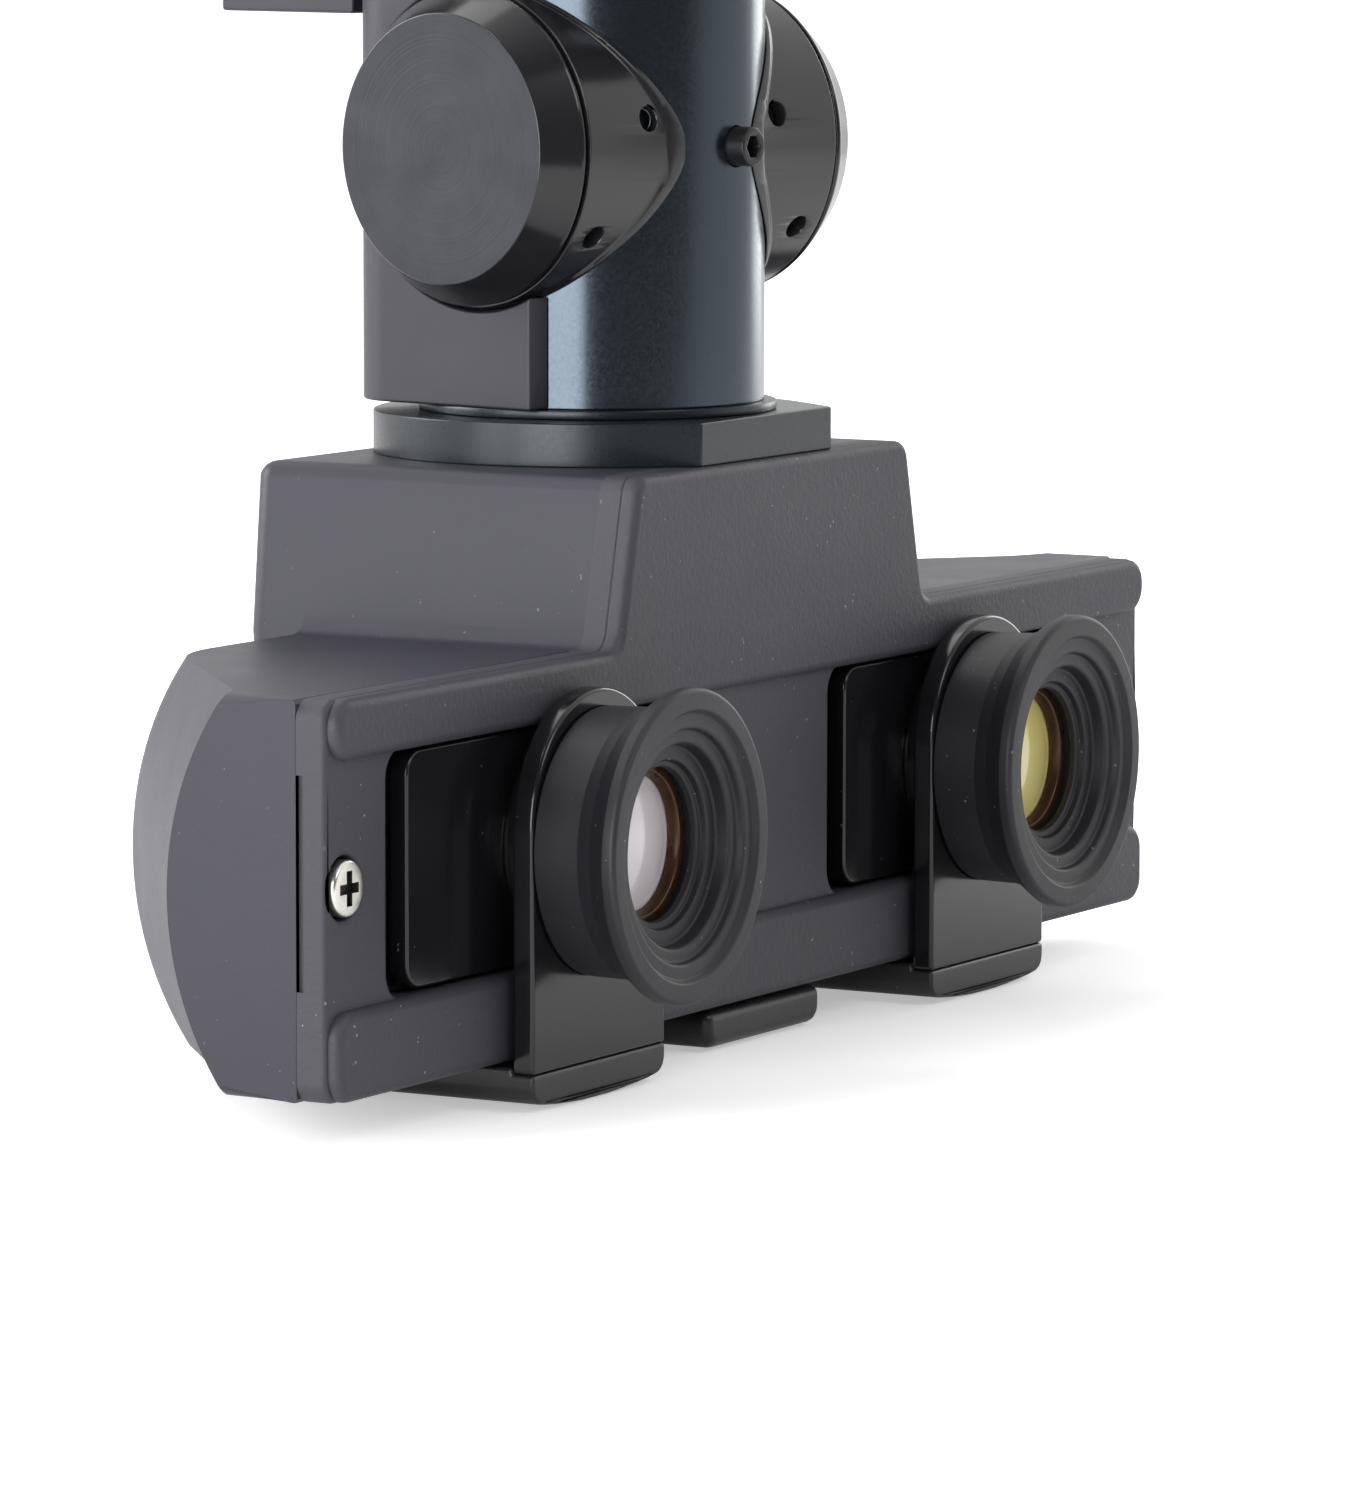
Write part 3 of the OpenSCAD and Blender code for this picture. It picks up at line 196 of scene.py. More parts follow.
# Front shell of the viewing block: one dark purple-grey moulding with a fine grain. Its long front is
# arched and swept back to a flat face at each end, and its raised middle carries the deck for the light
# tower.
block = Matrix.Translation((0, rear_face, underside)) @ Matrix.Diagonal((mm, mm, mm, 1))
half_width, wing_top, deck_top = 68.0, 30.2, 43.6
middle_depth, wing_front, end_depth, arch_r = 35.8, 34.4, 14.9, 25.0
knee_x, knee_r, flare_in, flare_rise, flare_r = 43.8, 13, 3.7, 1.4, 8
deck_half, hat_half, hat_low, hat_lean, deck_r, foot_r = 22.6, 25.7, 7, 1.1, 1.6, 1.8
seam, groove, seam_edge, end_edge, hat_edge = 3.5, 0.35, 0.3, 1.5, 1.8
small = 1e-4


def rounded(corners, steps=8):
    """Points of a closed outline whose corners (x, y, radius) are rounded off."""
    points = []
    for i, (x, y, r) in enumerate(corners):
        here = Vector((x, y))
        to_last = (Vector(corners[i - 1][:2]) - here).normalized()
        to_next = (Vector(corners[(i + 1) % len(corners)][:2]) - here).normalized()
        if not r:
            points.append(here)
            continue
        half = to_last.angle(to_next) / 2
        centre = here + (to_last + to_next).normalized() * (r / math.sin(half))
        start = here + to_last * (r / math.tan(half)) - centre
        end = here + to_next * (r / math.tan(half)) - centre
        sweep = start.angle_signed(end)
        points += [centre + Matrix.Rotation(-sweep * k / steps, 2) @ start for k in range(steps + 1)]
    return points


def fresh(geom):
    """The vertices among what an operator has made."""
    return [item for item in geom if isinstance(item, bmesh.types.BMVert)]


def slab(points, y0, y1):
    """An outline in X and Z, extruded from y0 to y1."""
    bm = bmesh.new()
    face = bm.faces.new([bm.verts.new((p[0], y0, p[1])) for p in points])
    made = bmesh.ops.extrude_face_region(bm, geom=[face])["geom"]
    bmesh.ops.translate(bm, vec=(0, y1 - y0, 0), verts=fresh(made))
    return bm


def bevel(bm, edges, width, segments):
    bmesh.ops.bevel(bm, geom=edges, offset=width, offset_type="OFFSET", affect="EDGES",
                    segments=segments, profile=0.5, material=-1, clamp_overlap=False)


def round_edges(bm, width, segments=3, angle=30, where=None):
    """Rounds the edges that are sharper than an angle, or those of them that a test picks."""
    bevel(bm, [e for e in bm.edges if e.is_manifold and e.calc_face_angle(0) > math.radians(angle)
               and (where is None or where(e))], width, segments)


def merge(target, part):
    """Adds a mesh under work to another one."""
    mesh = bpy.data.meshes.new("part")
    part.to_mesh(mesh)
    part.free()
    target.from_mesh(mesh)
    bpy.data.meshes.remove(mesh)


def settle(name, bm, where, finish, body, nodes, sharp=32):
    """Puts a finished mesh in place in the frame, attaches it to its body and hides the solids it stands
    for.
    """
    bmesh.ops.remove_doubles(bm, verts=bm.verts, dist=small if where else small * mm)
    if where:
        bm.transform(where)
    bmesh.ops.recalc_face_normals(bm, faces=bm.faces)
    for face in bm.faces:
        face.smooth = True
    mesh = bpy.data.meshes.new(name)
    bm.to_mesh(mesh)
    bm.free()
    mesh.set_sharp_from_angle(angle=math.radians(sharp))
    mesh.materials.append(finish.material)
    made = bpy.data.objects.new(name, mesh)
    bpy.context.scene.collection.objects.link(made)
    made.modifiers.new("even_shading", "WEIGHTED_NORMAL").keep_sharp = True
    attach(made, body)
    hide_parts(*nodes)
    return made


def tint(colour, share=1.0):
    return (*(min(1.0, c * share) for c in colour), 1)


def moulded(name, colour, roughness, grain, depth, dust=0.0, mottle=0.12, **constants):
    """Moulded plastic or rubber: fine grain, faint mottling, and specks of dust that lie on it."""
    made = Finish(name, **constants)
    patch = made.noise(9, 3)
    shade = made.mix(patch, tint(colour, 1 - mottle), tint(colour, 1 + mottle))
    fine = made.noise(grain, 2, 0.6)
    if dust:
        speck = made.between(made.noise(0.55, 1), 0.765, 0.79)
        drift = made.between(made.noise(14, 2), 0.4, 0.65)
        shade = made.mix(speck * drift * dust, shade, (0.42, 0.42, 0.44, 1))
    wear = made.between(patch + fine * 0.5, 0.3, 1.1, roughness - 0.05, roughness + 0.07)
    return made.feed(Base_Color=shade, Roughness=wear, Normal=made.relief(fine, depth))


def wing_section(x, depth, steps=14):
    """One upright section of the wings, from the rear underside round the arch to the rear top."""
    middle = wing_top / 2
    turn = math.asin(middle / arch_r)
    turns = [turn * i / steps for i in range(-steps, steps + 1)]
    return ([(x, seam, groove), (x, seam + groove, 0)]
            + [(x, depth - arch_r * (1 - math.cos(a)), middle + arch_r * math.sin(a)) for a in turns]
            + [(x, seam + groove, wing_top), (x, seam, wing_top - groove)])


def ring_edges(bm, ring):
    return [bm.edges.get((ring[i - 1], ring[i])) for i in range(len(ring))]


wings = bmesh.new()
flare_x, flare_y = half_width - flare_in, end_depth + flare_rise
plan = rounded([(-half_width, end_depth, 0), (-flare_x, flare_y, flare_r),
                (-knee_x, wing_front, knee_r), (knee_x, wing_front, knee_r),
                (flare_x, flare_y, flare_r), (half_width, end_depth, 0)], 12)
ring = [wings.verts.new(p) for p in wing_section(*plan[0])]
wings.faces.new(ring)
for station in plan[1:]:
    drawn = bmesh.ops.extrude_edge_only(wings, edges=ring_edges(wings, ring))["geom"]
    before = {v: i for i, v in enumerate(ring)}
    for v in fresh(drawn):
        for e in v.link_edges:
            if e.other_vert(v) in before:
                ring[before[e.other_vert(v)]] = v
    for v, p in zip(ring, wing_section(*station)):
        v.co = p
wings.faces.new(ring)
end_edges, seam_edges = [], []
for e in wings.edges:
    ends = [v.co for v in e.verts]
    if all(half_width - abs(v.x) < small for v in ends):
        if all(v.y > seam + groove - small and min(v.z, wing_top - v.z) < small for v in ends):
            end_edges.append(e)
        if all(v.y < seam + small for v in ends):
            seam_edges.append(e)
bevel(wings, seam_edges, seam_edge, 2)
bevel(wings, [e for e in end_edges if e.is_valid], end_edge, 5)

hat_outline = rounded([(-hat_half, hat_low, 0), (hat_half, hat_low, 0), (hat_half, wing_top, 0),
                       (deck_half, deck_top, deck_r), (-deck_half, deck_top, deck_r),
                       (-hat_half, wing_top, 0)], 10)
hat = slab(hat_outline, seam, middle_depth)
for v in hat.verts:
    if v.co.y > middle_depth - small:
        v.co.y -= hat_lean * (deck_top - v.co.z) / (deck_top - wing_top)
hat_front = middle_depth - 4
round_edges(hat, hat_edge, 5, 50, lambda e: all(v.co.y > hat_front for v in e.verts))
foot_run, wedge_depth = 3, 29.25
wedge_x, wedge_top, wedge_low = hat_half - 1.2, wing_top + 1.0, wing_top - 0.6
bend = rounded([(hat_half + foot_run, wing_top, 0), (hat_half, wing_top, foot_r),
                (deck_half, deck_top, 0)], 10)[1:-1]
wedge = [(p.x, p.y) for p in bend] + [(wedge_x, wedge_top), (wedge_x, wedge_low), (bend[0].x, wedge_low)]
for flip in (-1, 1):
    merge(hat, slab([(flip * x, z) for x, z in wedge], seam, wedge_depth))
merge(wings, hat)
shell_finish = moulded("shell_plastic", (0.036, 0.035, 0.05), roughness=0.42, grain=0.35, depth=0.012,
                       dust=0.35, Specular_IOR_Level=0.4)
settle("front_shell_moulding", wings, block, shell_finish, "block", ["front_shell"])

# Rear cover: a charcoal moulding with a coarser, matt texture and dust on it. Two raised lips run along
# it, and the eyepieces slide in the channel between them. Two narrow gaps at its ends are for prising it
# off.
cover_finish = moulded("cover_plastic", (0.052, 0.051, 0.063), roughness=0.52, grain=0.45, depth=0.05,
                       dust=0.8, Specular_IOR_Level=0.4)
low_lip, high_lip, channel_floor, channel_edge = 6.8, 25.6, 1.0, 0.45
slot_near, slot_far, slot_r, cover_r = 10.7, 59.1, 2.2, 1.6
lip_end, lip_root, lip_r, lip_low_r, lip_edge = half_width - 0.4, channel_floor + 0.6, 2.0, 2.2, 0.8
gap_low, gap_high, gap_depth, gap_start = 8.4, 24.6, 0.4, seam - 0.6
screw_x, screw_height, screw_head, screw_seat = half_width - 2.9, 16.0, 2.15, 2.45
crown = [(hat_half, wing_top, foot_r), (deck_half, deck_top, deck_r), (-deck_half, deck_top, deck_r),
         (-hat_half, wing_top, foot_r)]


def circle(x, z, radius, steps):
    turns = [math.tau * i / steps for i in range(steps)]
    return [Vector((x + radius * math.cos(a), z + radius * math.sin(a))) for a in turns]


base = bmesh.new()
loops = [rounded([(-half_width, 0, cover_r), (half_width, 0, cover_r), (half_width, wing_top, cover_r)]
                 + crown + [(-half_width, wing_top, cover_r)])]
for flip in (-1, 1):
    near, far = flip * slot_near, flip * slot_far
    loops.append(rounded([(near, low_lip, slot_r), (far, low_lip, slot_r), (far, high_lip, slot_r),
                          (near, high_lip, slot_r)]))
    loops.append(circle(flip * screw_x, screw_height, screw_seat, 40))
for points in loops:
    verts = [base.verts.new((p.x, channel_floor, p.y)) for p in points]
    for i in range(len(verts)):
        base.edges.new((verts[i - 1], verts[i]))
bmesh.ops.triangle_fill(base, edges=base.edges[:], use_beauty=True)
plate = bmesh.ops.extrude_face_region(base, geom=base.faces[:])["geom"]
bmesh.ops.translate(base, vec=(0, seam - channel_floor, 0), verts=fresh(plate))
bmesh.ops.dissolve_limit(base, angle_limit=math.radians(0.5), verts=base.verts, edges=base.edges)
round_edges(base, channel_edge, 3, 50, lambda e: all(v.co.y < channel_floor + small for v in e.verts))

upright, rearward = (0, 0, 1), (0, 1, 0)
for place, normal in (((0, 0, gap_low), upright), ((0, 0, gap_high), upright),
                      ((0, gap_start, 0), rearward)):
    everything = base.verts[:] + base.edges[:] + base.faces[:]
    bmesh.ops.bisect_plane(base, geom=everything, plane_co=place, plane_no=normal)
for flip in (-1, 1):
    prised = []
    for face in base.faces:
        middle = face.calc_center_median()
        at_end = abs(middle.x - flip * half_width) < 10 * small
        if at_end and middle.y > gap_start and gap_low < middle.z < gap_high:
            prised.append(face)
    gap = bmesh.ops.extrude_face_region(base, geom=prised)["geom"]
    bmesh.ops.delete(base, geom=prised, context="FACES_ONLY")
    bmesh.ops.translate(base, vec=(-flip * gap_depth, 0, 0), verts=fresh(gap))

upper_lip = ([(-lip_end, high_lip, lip_low_r), (lip_end, high_lip, lip_low_r),
              (lip_end, wing_top, lip_r)] + crown + [(-lip_end, wing_top, lip_r)])
lower_lip = [(-lip_end, 0, lip_r), (lip_end, 0, lip_r), (lip_end, low_lip, lip_low_r),
             (-lip_end, low_lip, lip_low_r)]
for outline in (upper_lip, lower_lip):
    lip = slab(rounded(outline), 0, lip_root)
    round_edges(lip, lip_edge, 4, 50, lambda e: all(v.co.y < small for v in e.verts))
    merge(base, lip)
settle("rear_cover_moulding", base, block, cover_finish, "block", ["rear_cover"])

# Cover screws: two bright nickelled pan heads with cross recesses, painted near-black inside as painted
# shade. They are turned down into round seats at the ends of the cover.
nickel = Finish("bright_nickel", Metallic=1.0)
streak = nickel.noise(1.5, 3)
nickel.feed(Base_Color=nickel.mix(streak, (0.7, 0.68, 0.62, 1), (0.88, 0.86, 0.8, 1)),
            Roughness=nickel.between(streak, 0.3, 0.7, 0.25, 0.38))
# Painted shade: a near-black finish for the faces inside the cross recesses, where shade falls on the
# nickel.
recess_shade = moulded("screw_recess", (0.01, 0.01, 0.01), roughness=0.6, grain=0.3, depth=0.002)
head_height, head_edge, head_sunk = 1.0, 0.3, 0.65
arm_share, slot_share, recess_share = 0.62, 0.18, 0.7


def cross_screw(radius, height):
    """A pan head towards +Z whose cross recess is cut into its top."""
    bm = bmesh.new()
    arm, half = radius * arm_share, radius * slot_share
    cross = [(half, arm), (half, half), (arm, half), (arm, -half), (half, -half), (half, -arm),
             (-half, -arm), (-half, -half), (-arm, -half), (-arm, half), (-half, half), (-half, arm)]
    loops = []
    for points in (circle(0, 0, radius, 48), cross):
        verts = [bm.verts.new((p[0], p[1], height)) for p in points]
        loops.append([bm.edges.new((verts[i - 1], verts[i])) for i in range(len(verts))])
    rim, cut = loops
    bmesh.ops.triangle_fill(bm, edges=rim + cut, use_beauty=True)
    skirt = bmesh.ops.extrude_edge_only(bm, edges=rim)["geom"]
    bmesh.ops.translate(bm, vec=(0, 0, -height), verts=fresh(skirt))
    wall = bmesh.ops.extrude_edge_only(bm, edges=cut)["geom"]
    bmesh.ops.translate(bm, vec=(0, 0, -recess_share * height), verts=fresh(wall))
    floor_edges = [e for e in wall if isinstance(e, bmesh.types.BMEdge)
                   and all(v in wall for v in e.verts)]
    bmesh.ops.triangle_fill(bm, edges=floor_edges, use_beauty=True)
    # The faces inside the cross recess take the second finish, the painted shade.
    for face in bm.faces:
        centre = face.calc_center_median()
        if centre.z < height - small and centre.xy.length < 0.75 * radius:
            face.material_index = 1
    bevel(bm, [e for e in rim if e.is_valid], head_edge, 3)
    return bm


heads = bmesh.new()
for flip in (-1, 1):
    head = cross_screw(screw_head, head_height)
    head.transform(Matrix.Translation((flip * screw_x, channel_floor + head_sunk, screw_height))
                   @ Matrix.Rotation(math.radians(90), 4, "X"))
    merge(heads, head)
screws = settle("cover_screws_heads", heads, block, nickel, "block", ["cover_screws"])
screws.data.materials.append(recess_shade.material)

# Slide plates, brackets, feet and finger slide: black mouldings, gloss above and satin below. Each plate
# lies in a slot of the rear cover. The arched bracket in front of it carries the eyepiece and stands on a
# foot under the block.
gloss_finish = moulded("gloss_black_plastic", (0.009, 0.009, 0.011), roughness=0.14, grain=1.2,
                       depth=0.0015, dust=0.5, mottle=0.05)
foot_finish = moulded("foot_plastic", (0.02, 0.02, 0.022), roughness=0.3, grain=0.4, depth=0.01,
                      dust=0.3)
weld = 0.004


def softened(node, width, segments=3):
    """A copy of a solid's mesh with its planes joined and its hard edges rounded."""
    bm = bmesh.new()
    bm.from_mesh(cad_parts[node].data)
    bmesh.ops.remove_doubles(bm, verts=bm.verts, dist=weld * mm)
    bmesh.ops.dissolve_limit(bm, angle_limit=math.radians(1.0), verts=bm.verts, edges=bm.edges)
    round_edges(bm, width * mm, segments)
    return bm


for hand in ("left", "right"):
    for kind, width, finish, slot in (("slide_plate", 0.25, gloss_finish, "gloss_black"),
                                      ("bracket", 0.35, gloss_finish, "gloss_black"),
                                      ("foot", 0.3, foot_finish, "foot")):
        node = kind + "_" + hand
        settle(kind + "_moulding_" + hand, softened(node, width), None, finish, "eyepiece_" + hand,
               [node])
settle("finger_slide_moulding", softened("finger_slide", 0.9, 4), None, foot_finish, "prism_slide",
       ["finger_slide"])

# Eyepieces: a soft rubber eyecup in four folds on a black barrel, with a domed lens held by a bronzed
# ring. The coating of the left lens is a pale pink, that of the right one a yellow. Their base colours
# are
# nearly as light as white paint: a painted reflection of the room in the coatings.
eye_height, eye_offset = 16.3, 33.0
lens_r, dome_r, dome_top, dome_fall, lens_back, lens_edge = 6.4, 5.1, 5.97, 0.66, 3.4, 5.28
rubber = moulded("eyecup_rubber", (0.013, 0.012, 0.016), roughness=0.5, grain=0.4, depth=0.012, dust=0.8,
                 Specular_IOR_Level=0.5)
bronze = Finish("bronzed_ring", Metallic=0.5)
bronze_patch = bronze.noise(2, 2)
bronze.feed(Base_Color=bronze.mix(bronze_patch, (0.06, 0.03, 0.014, 1), (0.11, 0.055, 0.026, 1)),
            Roughness=bronze.between(bronze_patch, 0.3, 0.7, 0.25, 0.4))


def turned(profile, steps=96):
    """A closed profile of (radius, height) points turned about Z."""
    bm = bmesh.new()
    verts = [bm.verts.new((r, 0, z)) for r, z in profile]
    edges = [bm.edges.new((verts[i - 1], verts[i])) for i in range(len(verts))
             if not (profile[i - 1][0] == 0 and profile[i][0] == 0)]
    bmesh.ops.spin(bm, geom=verts + edges, cent=(0, 0, 0), axis=(0, 0, 1), dvec=(0, 0, 0),
                   angle=math.tau, steps=steps, use_merge=True, use_duplicate=False)
    bmesh.ops.remove_doubles(bm, verts=bm.verts, dist=small)
    return bm


def eye_frame(hand):
    flip = -1 if hand == "left" else 1
    return (block @ Matrix.Diagonal((flip, 1, 1, 1)) @ Matrix.Translation((eye_offset, 0, eye_height))
            @ Matrix.Rotation(math.radians(90), 4, "X"))


eyecup_profile = rounded([
    (12.3, 10.6, 0.45), (12.3, 9.5, 0.3), (11.0, 7.7, 0.6), (10.58, 6.4, 0.3), (10.5, 2.6, 0),
    (10.06, 2.6, 0), (10.06, 4.3, 0), (7.3, 4.3, 0), (7.3, 6.85, 0), (6.0, 6.85, 0.2), (6.0, 7.6, 0.25),
    (6.5, 7.6, 0.15), (6.6, 8.2, 0.2), (7.8, 8.2, 0.25), (7.95, 9.45, 0.35), (9.0, 9.45, 0.25),
    (9.15, 10.12, 0.3), (10.3, 10.12, 0.2), (10.6, 10.6, 0.25)], 5)
ring_profile = rounded([(5.25, 5.35, 0.1), (6.4, 5.35, 0), (6.4, 6.3, 0.1), (5.6, 6.3, 0.15)], 3)
for hand in ("left", "right"):
    eye = "eyepiece_" + hand
    settle("eyecup_rubber_" + hand, turned(eyecup_profile), eye_frame(hand), rubber, eye,
           ["eyecup_" + hand], sharp=50)
    settle("lens_ring_turned_" + hand, turned(ring_profile), eye_frame(hand), bronze, eye,
           ["lens_ring_" + hand])

# Painted reflection: each lens's near-white pink or bright yellow base colour stands in for the room
# reflected in its tinted coating.
for hand, dark, pale in (("left", (0.84, 0.76, 0.8), (0.95, 0.91, 0.94)),
                         ("right", (0.93, 0.78, 0.2), (0.97, 0.88, 0.4))):
    painted_reflection_lens = Finish("coated_lens_" + hand, Metallic=0.0, Roughness=0.2, Coat_Weight=1.0,
                    Coat_Roughness=0.02)
    painted_reflection_tone = painted_reflection_lens.noise(5, 1)
    painted_reflection_lens.feed(Base_Color=painted_reflection_lens.mix(painted_reflection_tone, tint(dark), tint(pale)))
    dome = [(dome_r * i / 10, dome_top - dome_fall * (i / 10) ** 2) for i in range(10, -1, -1)]
    settle("lens_" + hand, turned([(0, lens_back), (lens_r, lens_back), (lens_r, lens_edge)] + dome),
           eye_frame(hand), painted_reflection_lens, "eyepiece_" + hand, ["ocular_" + hand])


# Ring with its flat tab on the deck, and the thin friction washer on it: turned and milled from alloy,
# and anodised blue-black with a satin sheen. The light tower turns on them.
def anodised(name, dark, pale, roughness, relief=0.0015, **constants):
    """Satin anodised alloy: fine even sheen with faint turning marks."""
    made = Finish(name, **constants)
    patch = made.noise(12, 2)
    fine = made.noise(0.25, 2, 0.6)
    return made.feed(Base_Color=made.mix(patch, tint(dark), tint(pale)),
                     Roughness=made.between(fine, 0.3, 0.7, roughness - 0.04, roughness + 0.05),
                     Normal=made.relief(fine, relief))


ring_finish = anodised("ring_anodised", (0.012, 0.017, 0.02), (0.022, 0.029, 0.033), roughness=0.3,
                       Metallic=0.35)
settle("base_ring_milled", softened("base_ring", 0.15, 2), None, ring_finish, "block",
       ["base_ring"])
settle("swivel_washer_turned", softened("swivel_washer", 0.1, 2), None, ring_finish, "tower",
       ["swivel_washer"])

# Light tube: turned alloy, anodised blue-black. The square front casing is milled, is a more matt
# purple-grey, and wraps the patient's side of the tube. Its right wall is brought in until the tube hides
# it from the examiner's left.
tower_turn, tower_depth = math.radians(-12.4), 16.8
casing_side, casing_trim = 14.3, 0.75
tower = block @ Matrix.Translation((0, tower_depth, 0)) @ Matrix.Rotation(tower_turn, 4, "Z")
tube_finish = anodised("tube_anodised", (0.055, 0.069, 0.084), (0.065, 0.081, 0.098), roughness=0.2,
                       relief=0.0005, Metallic=0.92)
settle("tower_tube_turned", softened("tower_tube", 0.15, 2), None, tube_finish, "tower",
       ["tower_tube"])
casing_finish = anodised("casing_anodised", (0.024, 0.023, 0.031), (0.034, 0.033, 0.043), roughness=0.42,
                         Metallic=0.2)
casing = softened("front_casing", 0.25)
casing.transform(tower.inverted())
for v in casing.verts:
    if v.co.x > casing_side:
        v.co.x -= casing_trim
settle("front_casing_milled", casing, tower, casing_finish, "tower", ["front_casing"])

# Hubs and knobs: the gloss black hubs sit on the tube like saddles, and each carries a knob whose satin
# grey face shows fine turning marks. Grub screws hold the hubs, and a socket set screw stands out of the
# tube.
hub_finish = anodised("hub_gloss", (0.012, 0.012, 0.014), (0.018, 0.018, 0.02), roughness=0.2,
                      Specular_IOR_Level=0.6)
for hand in ("left", "right"):
    settle("hub_saddle_" + hand, softened("hub_" + hand, 0.18, 2), None, hub_finish, "tower",
           ["hub_" + hand])
black_steel = anodised("black_steel", (0.02, 0.02, 0.021), (0.035, 0.035, 0.037), roughness=0.35,
                       Metallic=0.6)
settle("hub_screws_softened", softened("hub_screws", 0.08, 1), None, black_steel, "tower",
       ["hub_screws"])
settle("tube_screw_softened", softened("tube_screw", 0.2, 3), None, black_steel, "tower",
       ["tube_screw"])

knob_height, knob_r, knob_face_r, knob_base, knob_top = 68.7, 12.8, 10.8, 15.2, 18.7
slope_r, slope_base, marks_per_mm = 12.6, 15.7, 3.2


def side_of_tower(height, flip):
    """The place of a turned part on the tower's left (-1) or right (1) side, its own Z outwards."""
    return tower @ Matrix.Translation((0, 0, height)) @ Matrix.Rotation(math.radians(90 * flip), 4, "Y")


def knob_finish(name, place):
    """Turned grey face inside a gloss black rim: rings about the knob's own axis."""
    made = Finish(name, Metallic=0.0)
    centre = place.translation / mm
    spin = place.to_3x3().normalized().to_euler()
    local = made.node("Mapping", {"Vector": made.mm, "Location": centre, "Rotation": spin},
                      vector_type="TEXTURE")
    flat = made.node("VectorMath", {0: local, 1: (1, 1, 0)}, operation="MULTIPLY")
    radius = made.node("VectorMath", {0: flat}, output=1, operation="LENGTH")
    height = made.node("SeparateXYZ", {0: local}, output=2)
    on_top = made.between(height, knob_top - 0.15, knob_top - 0.05)
    face = on_top * made.between(radius, knob_face_r, knob_face_r - 0.15)
    rings = made.node("CombineXYZ", {0: radius * marks_per_mm, 1: 0.0, 2: 0.0})
    marks = made.node("TexNoise", {"Vector": rings, "Scale": 1.0, "Detail": 3.0}, output="Fac")
    share = made.between(marks * 0.35 + made.noise(4, 3) * 0.65, 0.3, 0.7)
    grey = made.mix(share, (0.026, 0.028, 0.033, 1), (0.042, 0.045, 0.052, 1))
    return made.feed(Base_Color=made.mix(face, (0.013, 0.013, 0.015, 1), grey),
                     Metallic=face * 0.6,
                     Roughness=made.between(face, 0, 1, 0.15, 0.38),
                     Normal=made.relief(marks * face, 0.02))


knob_profile = rounded([(0, knob_base, 0), (knob_r, knob_base, 0.25), (slope_r, slope_base, 0.1),
                        (knob_face_r, knob_top, 0.15), (0, knob_top, 0)], 4)
for hand, body, flip in (("left", "aperture", -1), ("right", "filter", 1)):
    place = side_of_tower(knob_height, flip)
    settle("knob_turned_" + hand, turned(knob_profile, 128), place,
           knob_finish("knob_face_" + hand, place), body, [body + "_knob"])

# Lamp head: a milled alloy box on the tube, with a lid on four screws, an open hood that shades the
# light's way out, and a lug whose bore takes the headband's arm. A bright knob tilts the mirror inside.
for node, width, segments in (("lamp_head", 0.2, 2), ("light_hood", 0.3, 3), ("head_lid", 0.4, 3)):
    settle(node + "_milled", softened(node, width, segments), None, casing_finish, "tower",
           [node])
settle("lid_screws_softened", softened("lid_screws", 0.12, 2), None, nickel, "tower",
       ["lid_screws"])

mirror_height, grips, grip_r, groove_share = 88.45, 60, 7.0, 0.965
knurl = turned([(0, 11.5), (6.7, 11.5), (grip_r, 11.8), (grip_r, 13.2), (6.7, 13.5), (2.2, 13.5),
                (2.0, 13.3), (0, 13.3)], grips * 2)
for v in knurl.verts:
    step = round(math.atan2(v.co.y, v.co.x) / math.tau * grips * 2)
    if v.co.xy.length > grip_r - 0.1 and step % 2:
        v.co.x *= groove_share
        v.co.y *= groove_share
settle("tilt_knob_knurled", knurl, side_of_tower(mirror_height, -1), nickel, "mirror",
       ["tilt_knob"], sharp=20)

# Clear glass: the patient window, the centre prism, the condenser and projection lenses, and the window
# in the head's mouth. All are ground and polished, and sit in seats of the pieces that hold them.
clear = Finish("clear_glass", Roughness=0.03, Transmission_Weight=1.0, IOR=1.5)
smear = clear.noise(6, 2)
clear.feed(Base_Color=clear.mix(smear, (0.86, 0.92, 0.93, 1), (0.94, 0.97, 0.98, 1)))


def dress(finish, *nodes):
    """Gives a carried-over solid its finish."""
    for node in nodes:
        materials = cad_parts[node].data.materials
        materials.clear()
        materials.append(finish.material)


dress(clear, "patient_window", "centre_prism", "condenser_lens", "projection_lens", "exit_window")

# Steel parts: the two guide rods through the block, the swivel nut under its deck, and the shaft of the
# tilting mirror. They are turned and ground bright.
steel = Finish("ground_steel", Metallic=1.0)
ground = steel.noise(0.3, 3)
steel.feed(Base_Color=steel.mix(ground, (0.5, 0.5, 0.51, 1), (0.66, 0.66, 0.67, 1)),
           Roughness=steel.between(ground, 0.3, 0.7, 0.2, 0.34))
dress(steel, "guide_rods", "swivel_nut", "tilt_shaft")

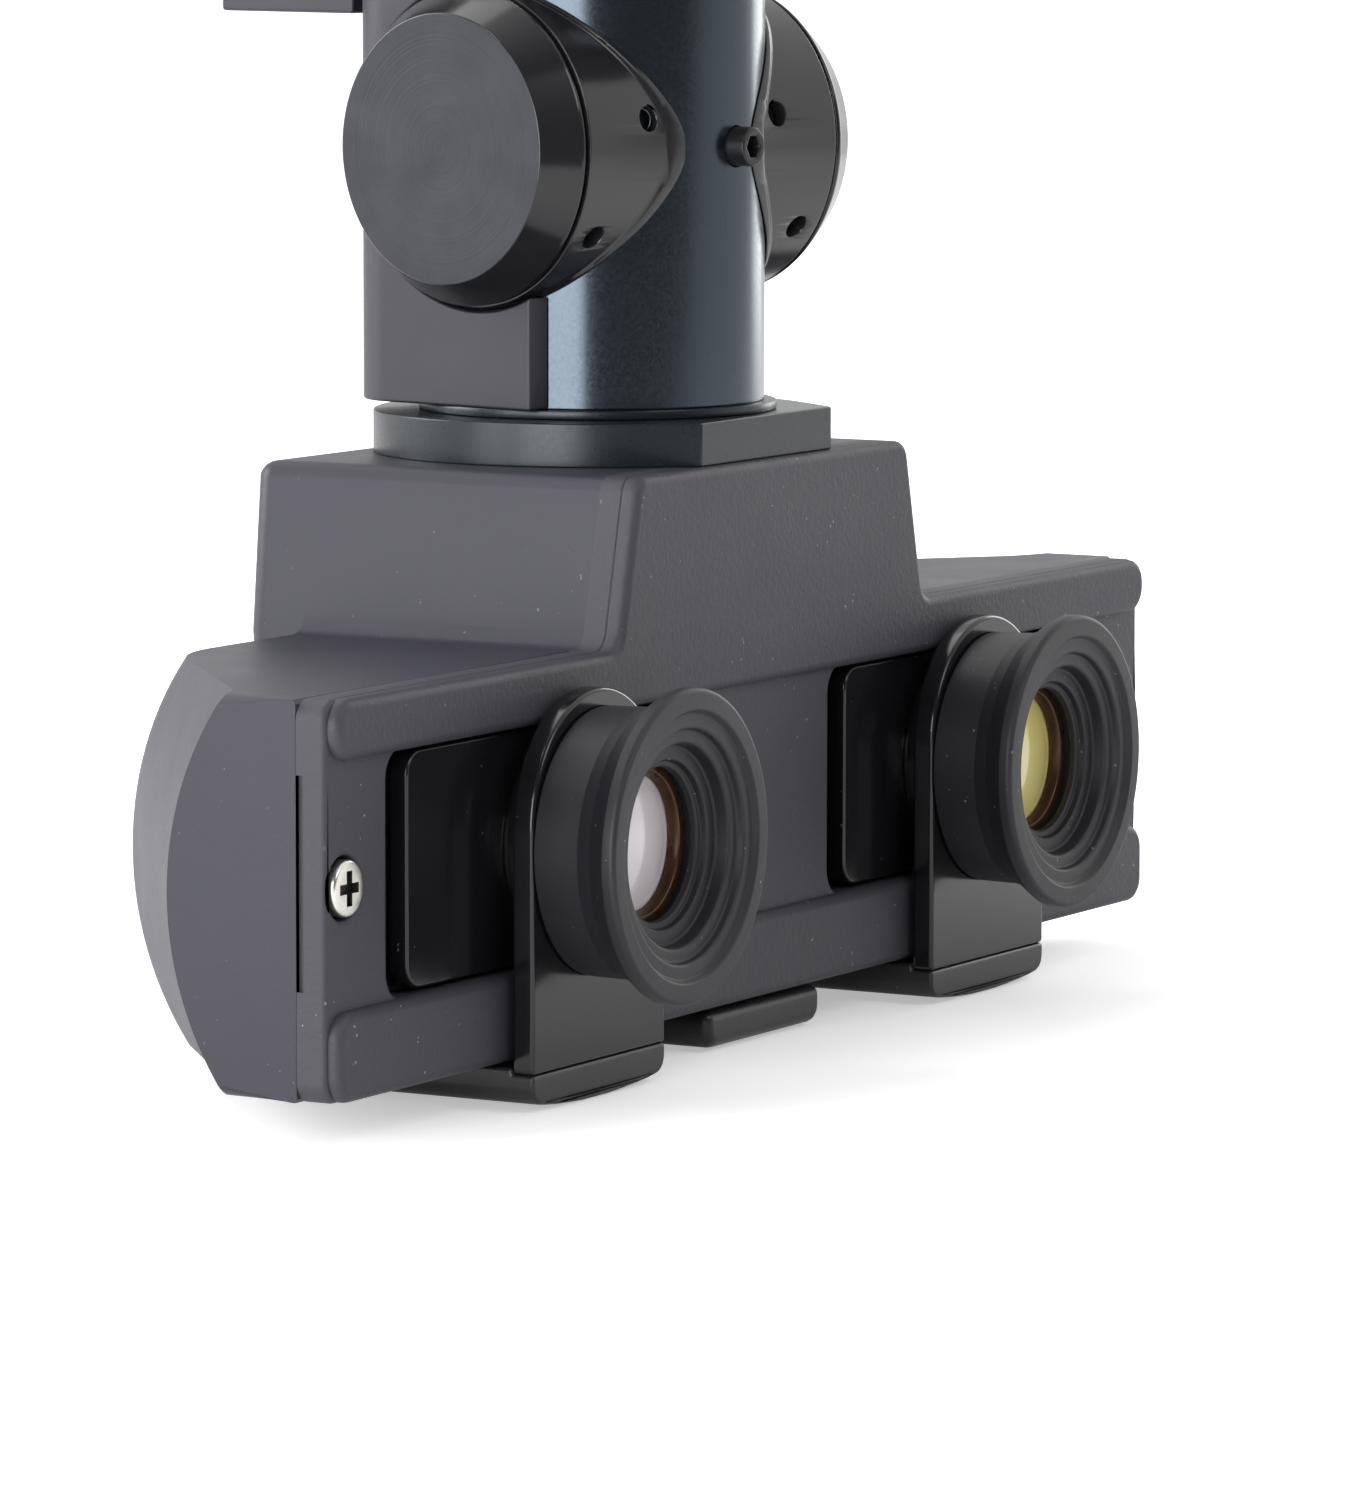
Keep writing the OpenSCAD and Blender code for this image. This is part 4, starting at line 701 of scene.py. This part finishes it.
# Inner mouldings: the barrels and carriages of the eyepieces, the prism's table, the condenser's cell,
# the two drums and the mirror's holder. All are a dull black plastic that keeps stray light away.
inner = moulded("inner_black_plastic", (0.02, 0.02, 0.021), roughness=0.6, grain=0.5, depth=0.01)
dress(inner, "prism_table", "barrel_left", "barrel_right", "carriage_left", "carriage_right",
      "condenser_cell", "aperture_drum", "filter_drum", "mirror_holder")

# Mirrors: one on each carriage and one in the lamp head. Each is a glass plate, silvered on its face and
# cemented to its holder.
silvered = Finish("silvered_glass", Metallic=1.0)
haze = silvered.noise(8, 2)
silvered.feed(Base_Color=silvered.mix(haze, (0.84, 0.85, 0.87, 1), (0.9, 0.91, 0.92, 1)),
              Roughness=silvered.between(haze, 0.3, 0.7, 0.02, 0.06))
dress(silvered, "outer_mirror_left", "outer_mirror_right", "lamp_mirror")

# Lamp: a machined alloy slug fits the bore of the tube. It takes the heat away from a small green board,
# which carries the yellow emitter.
alloy = Finish("machined_alloy", Metallic=1.0)
cutter = alloy.noise(0.5, 2)
alloy.feed(Base_Color=alloy.mix(cutter, (0.6, 0.6, 0.61, 1), (0.74, 0.74, 0.75, 1)),
           Roughness=alloy.between(cutter, 0.3, 0.7, 0.26, 0.4))
dress(alloy, "lamp_slug")
green_board = moulded("green_board", (0.03, 0.17, 0.07), roughness=0.35, grain=0.6, depth=0.004)
dress(green_board, "lamp_board")
phosphor = moulded("lamp_phosphor", (0.8, 0.68, 0.16), roughness=0.5, grain=0.3, depth=0.004,
                   mottle=0.08)
dress(phosphor, "lamp_emitter")

# Filter glasses: three discs of green glass, dyed in the mass. They are cemented into the wall of the
# filter drum, which the right knob turns.
filter_glass = Finish("filter_glass", Roughness=0.05, Transmission_Weight=0.8)
batch = filter_glass.noise(6, 1)
filter_glass.feed(Base_Color=filter_glass.mix(batch, (0.05, 0.45, 0.16, 1), (0.12, 0.62, 0.3, 1)))
dress(filter_glass, "filter_glasses")

# Bezel of the patient window: a gloss black frame, moulded of the same plastic as the brackets. It stands
# on the front of the shell round the glass.
settle("window_bezel_moulding", softened("window_bezel", 0.25), None, gloss_finish, "block",
       ["window_bezel"])
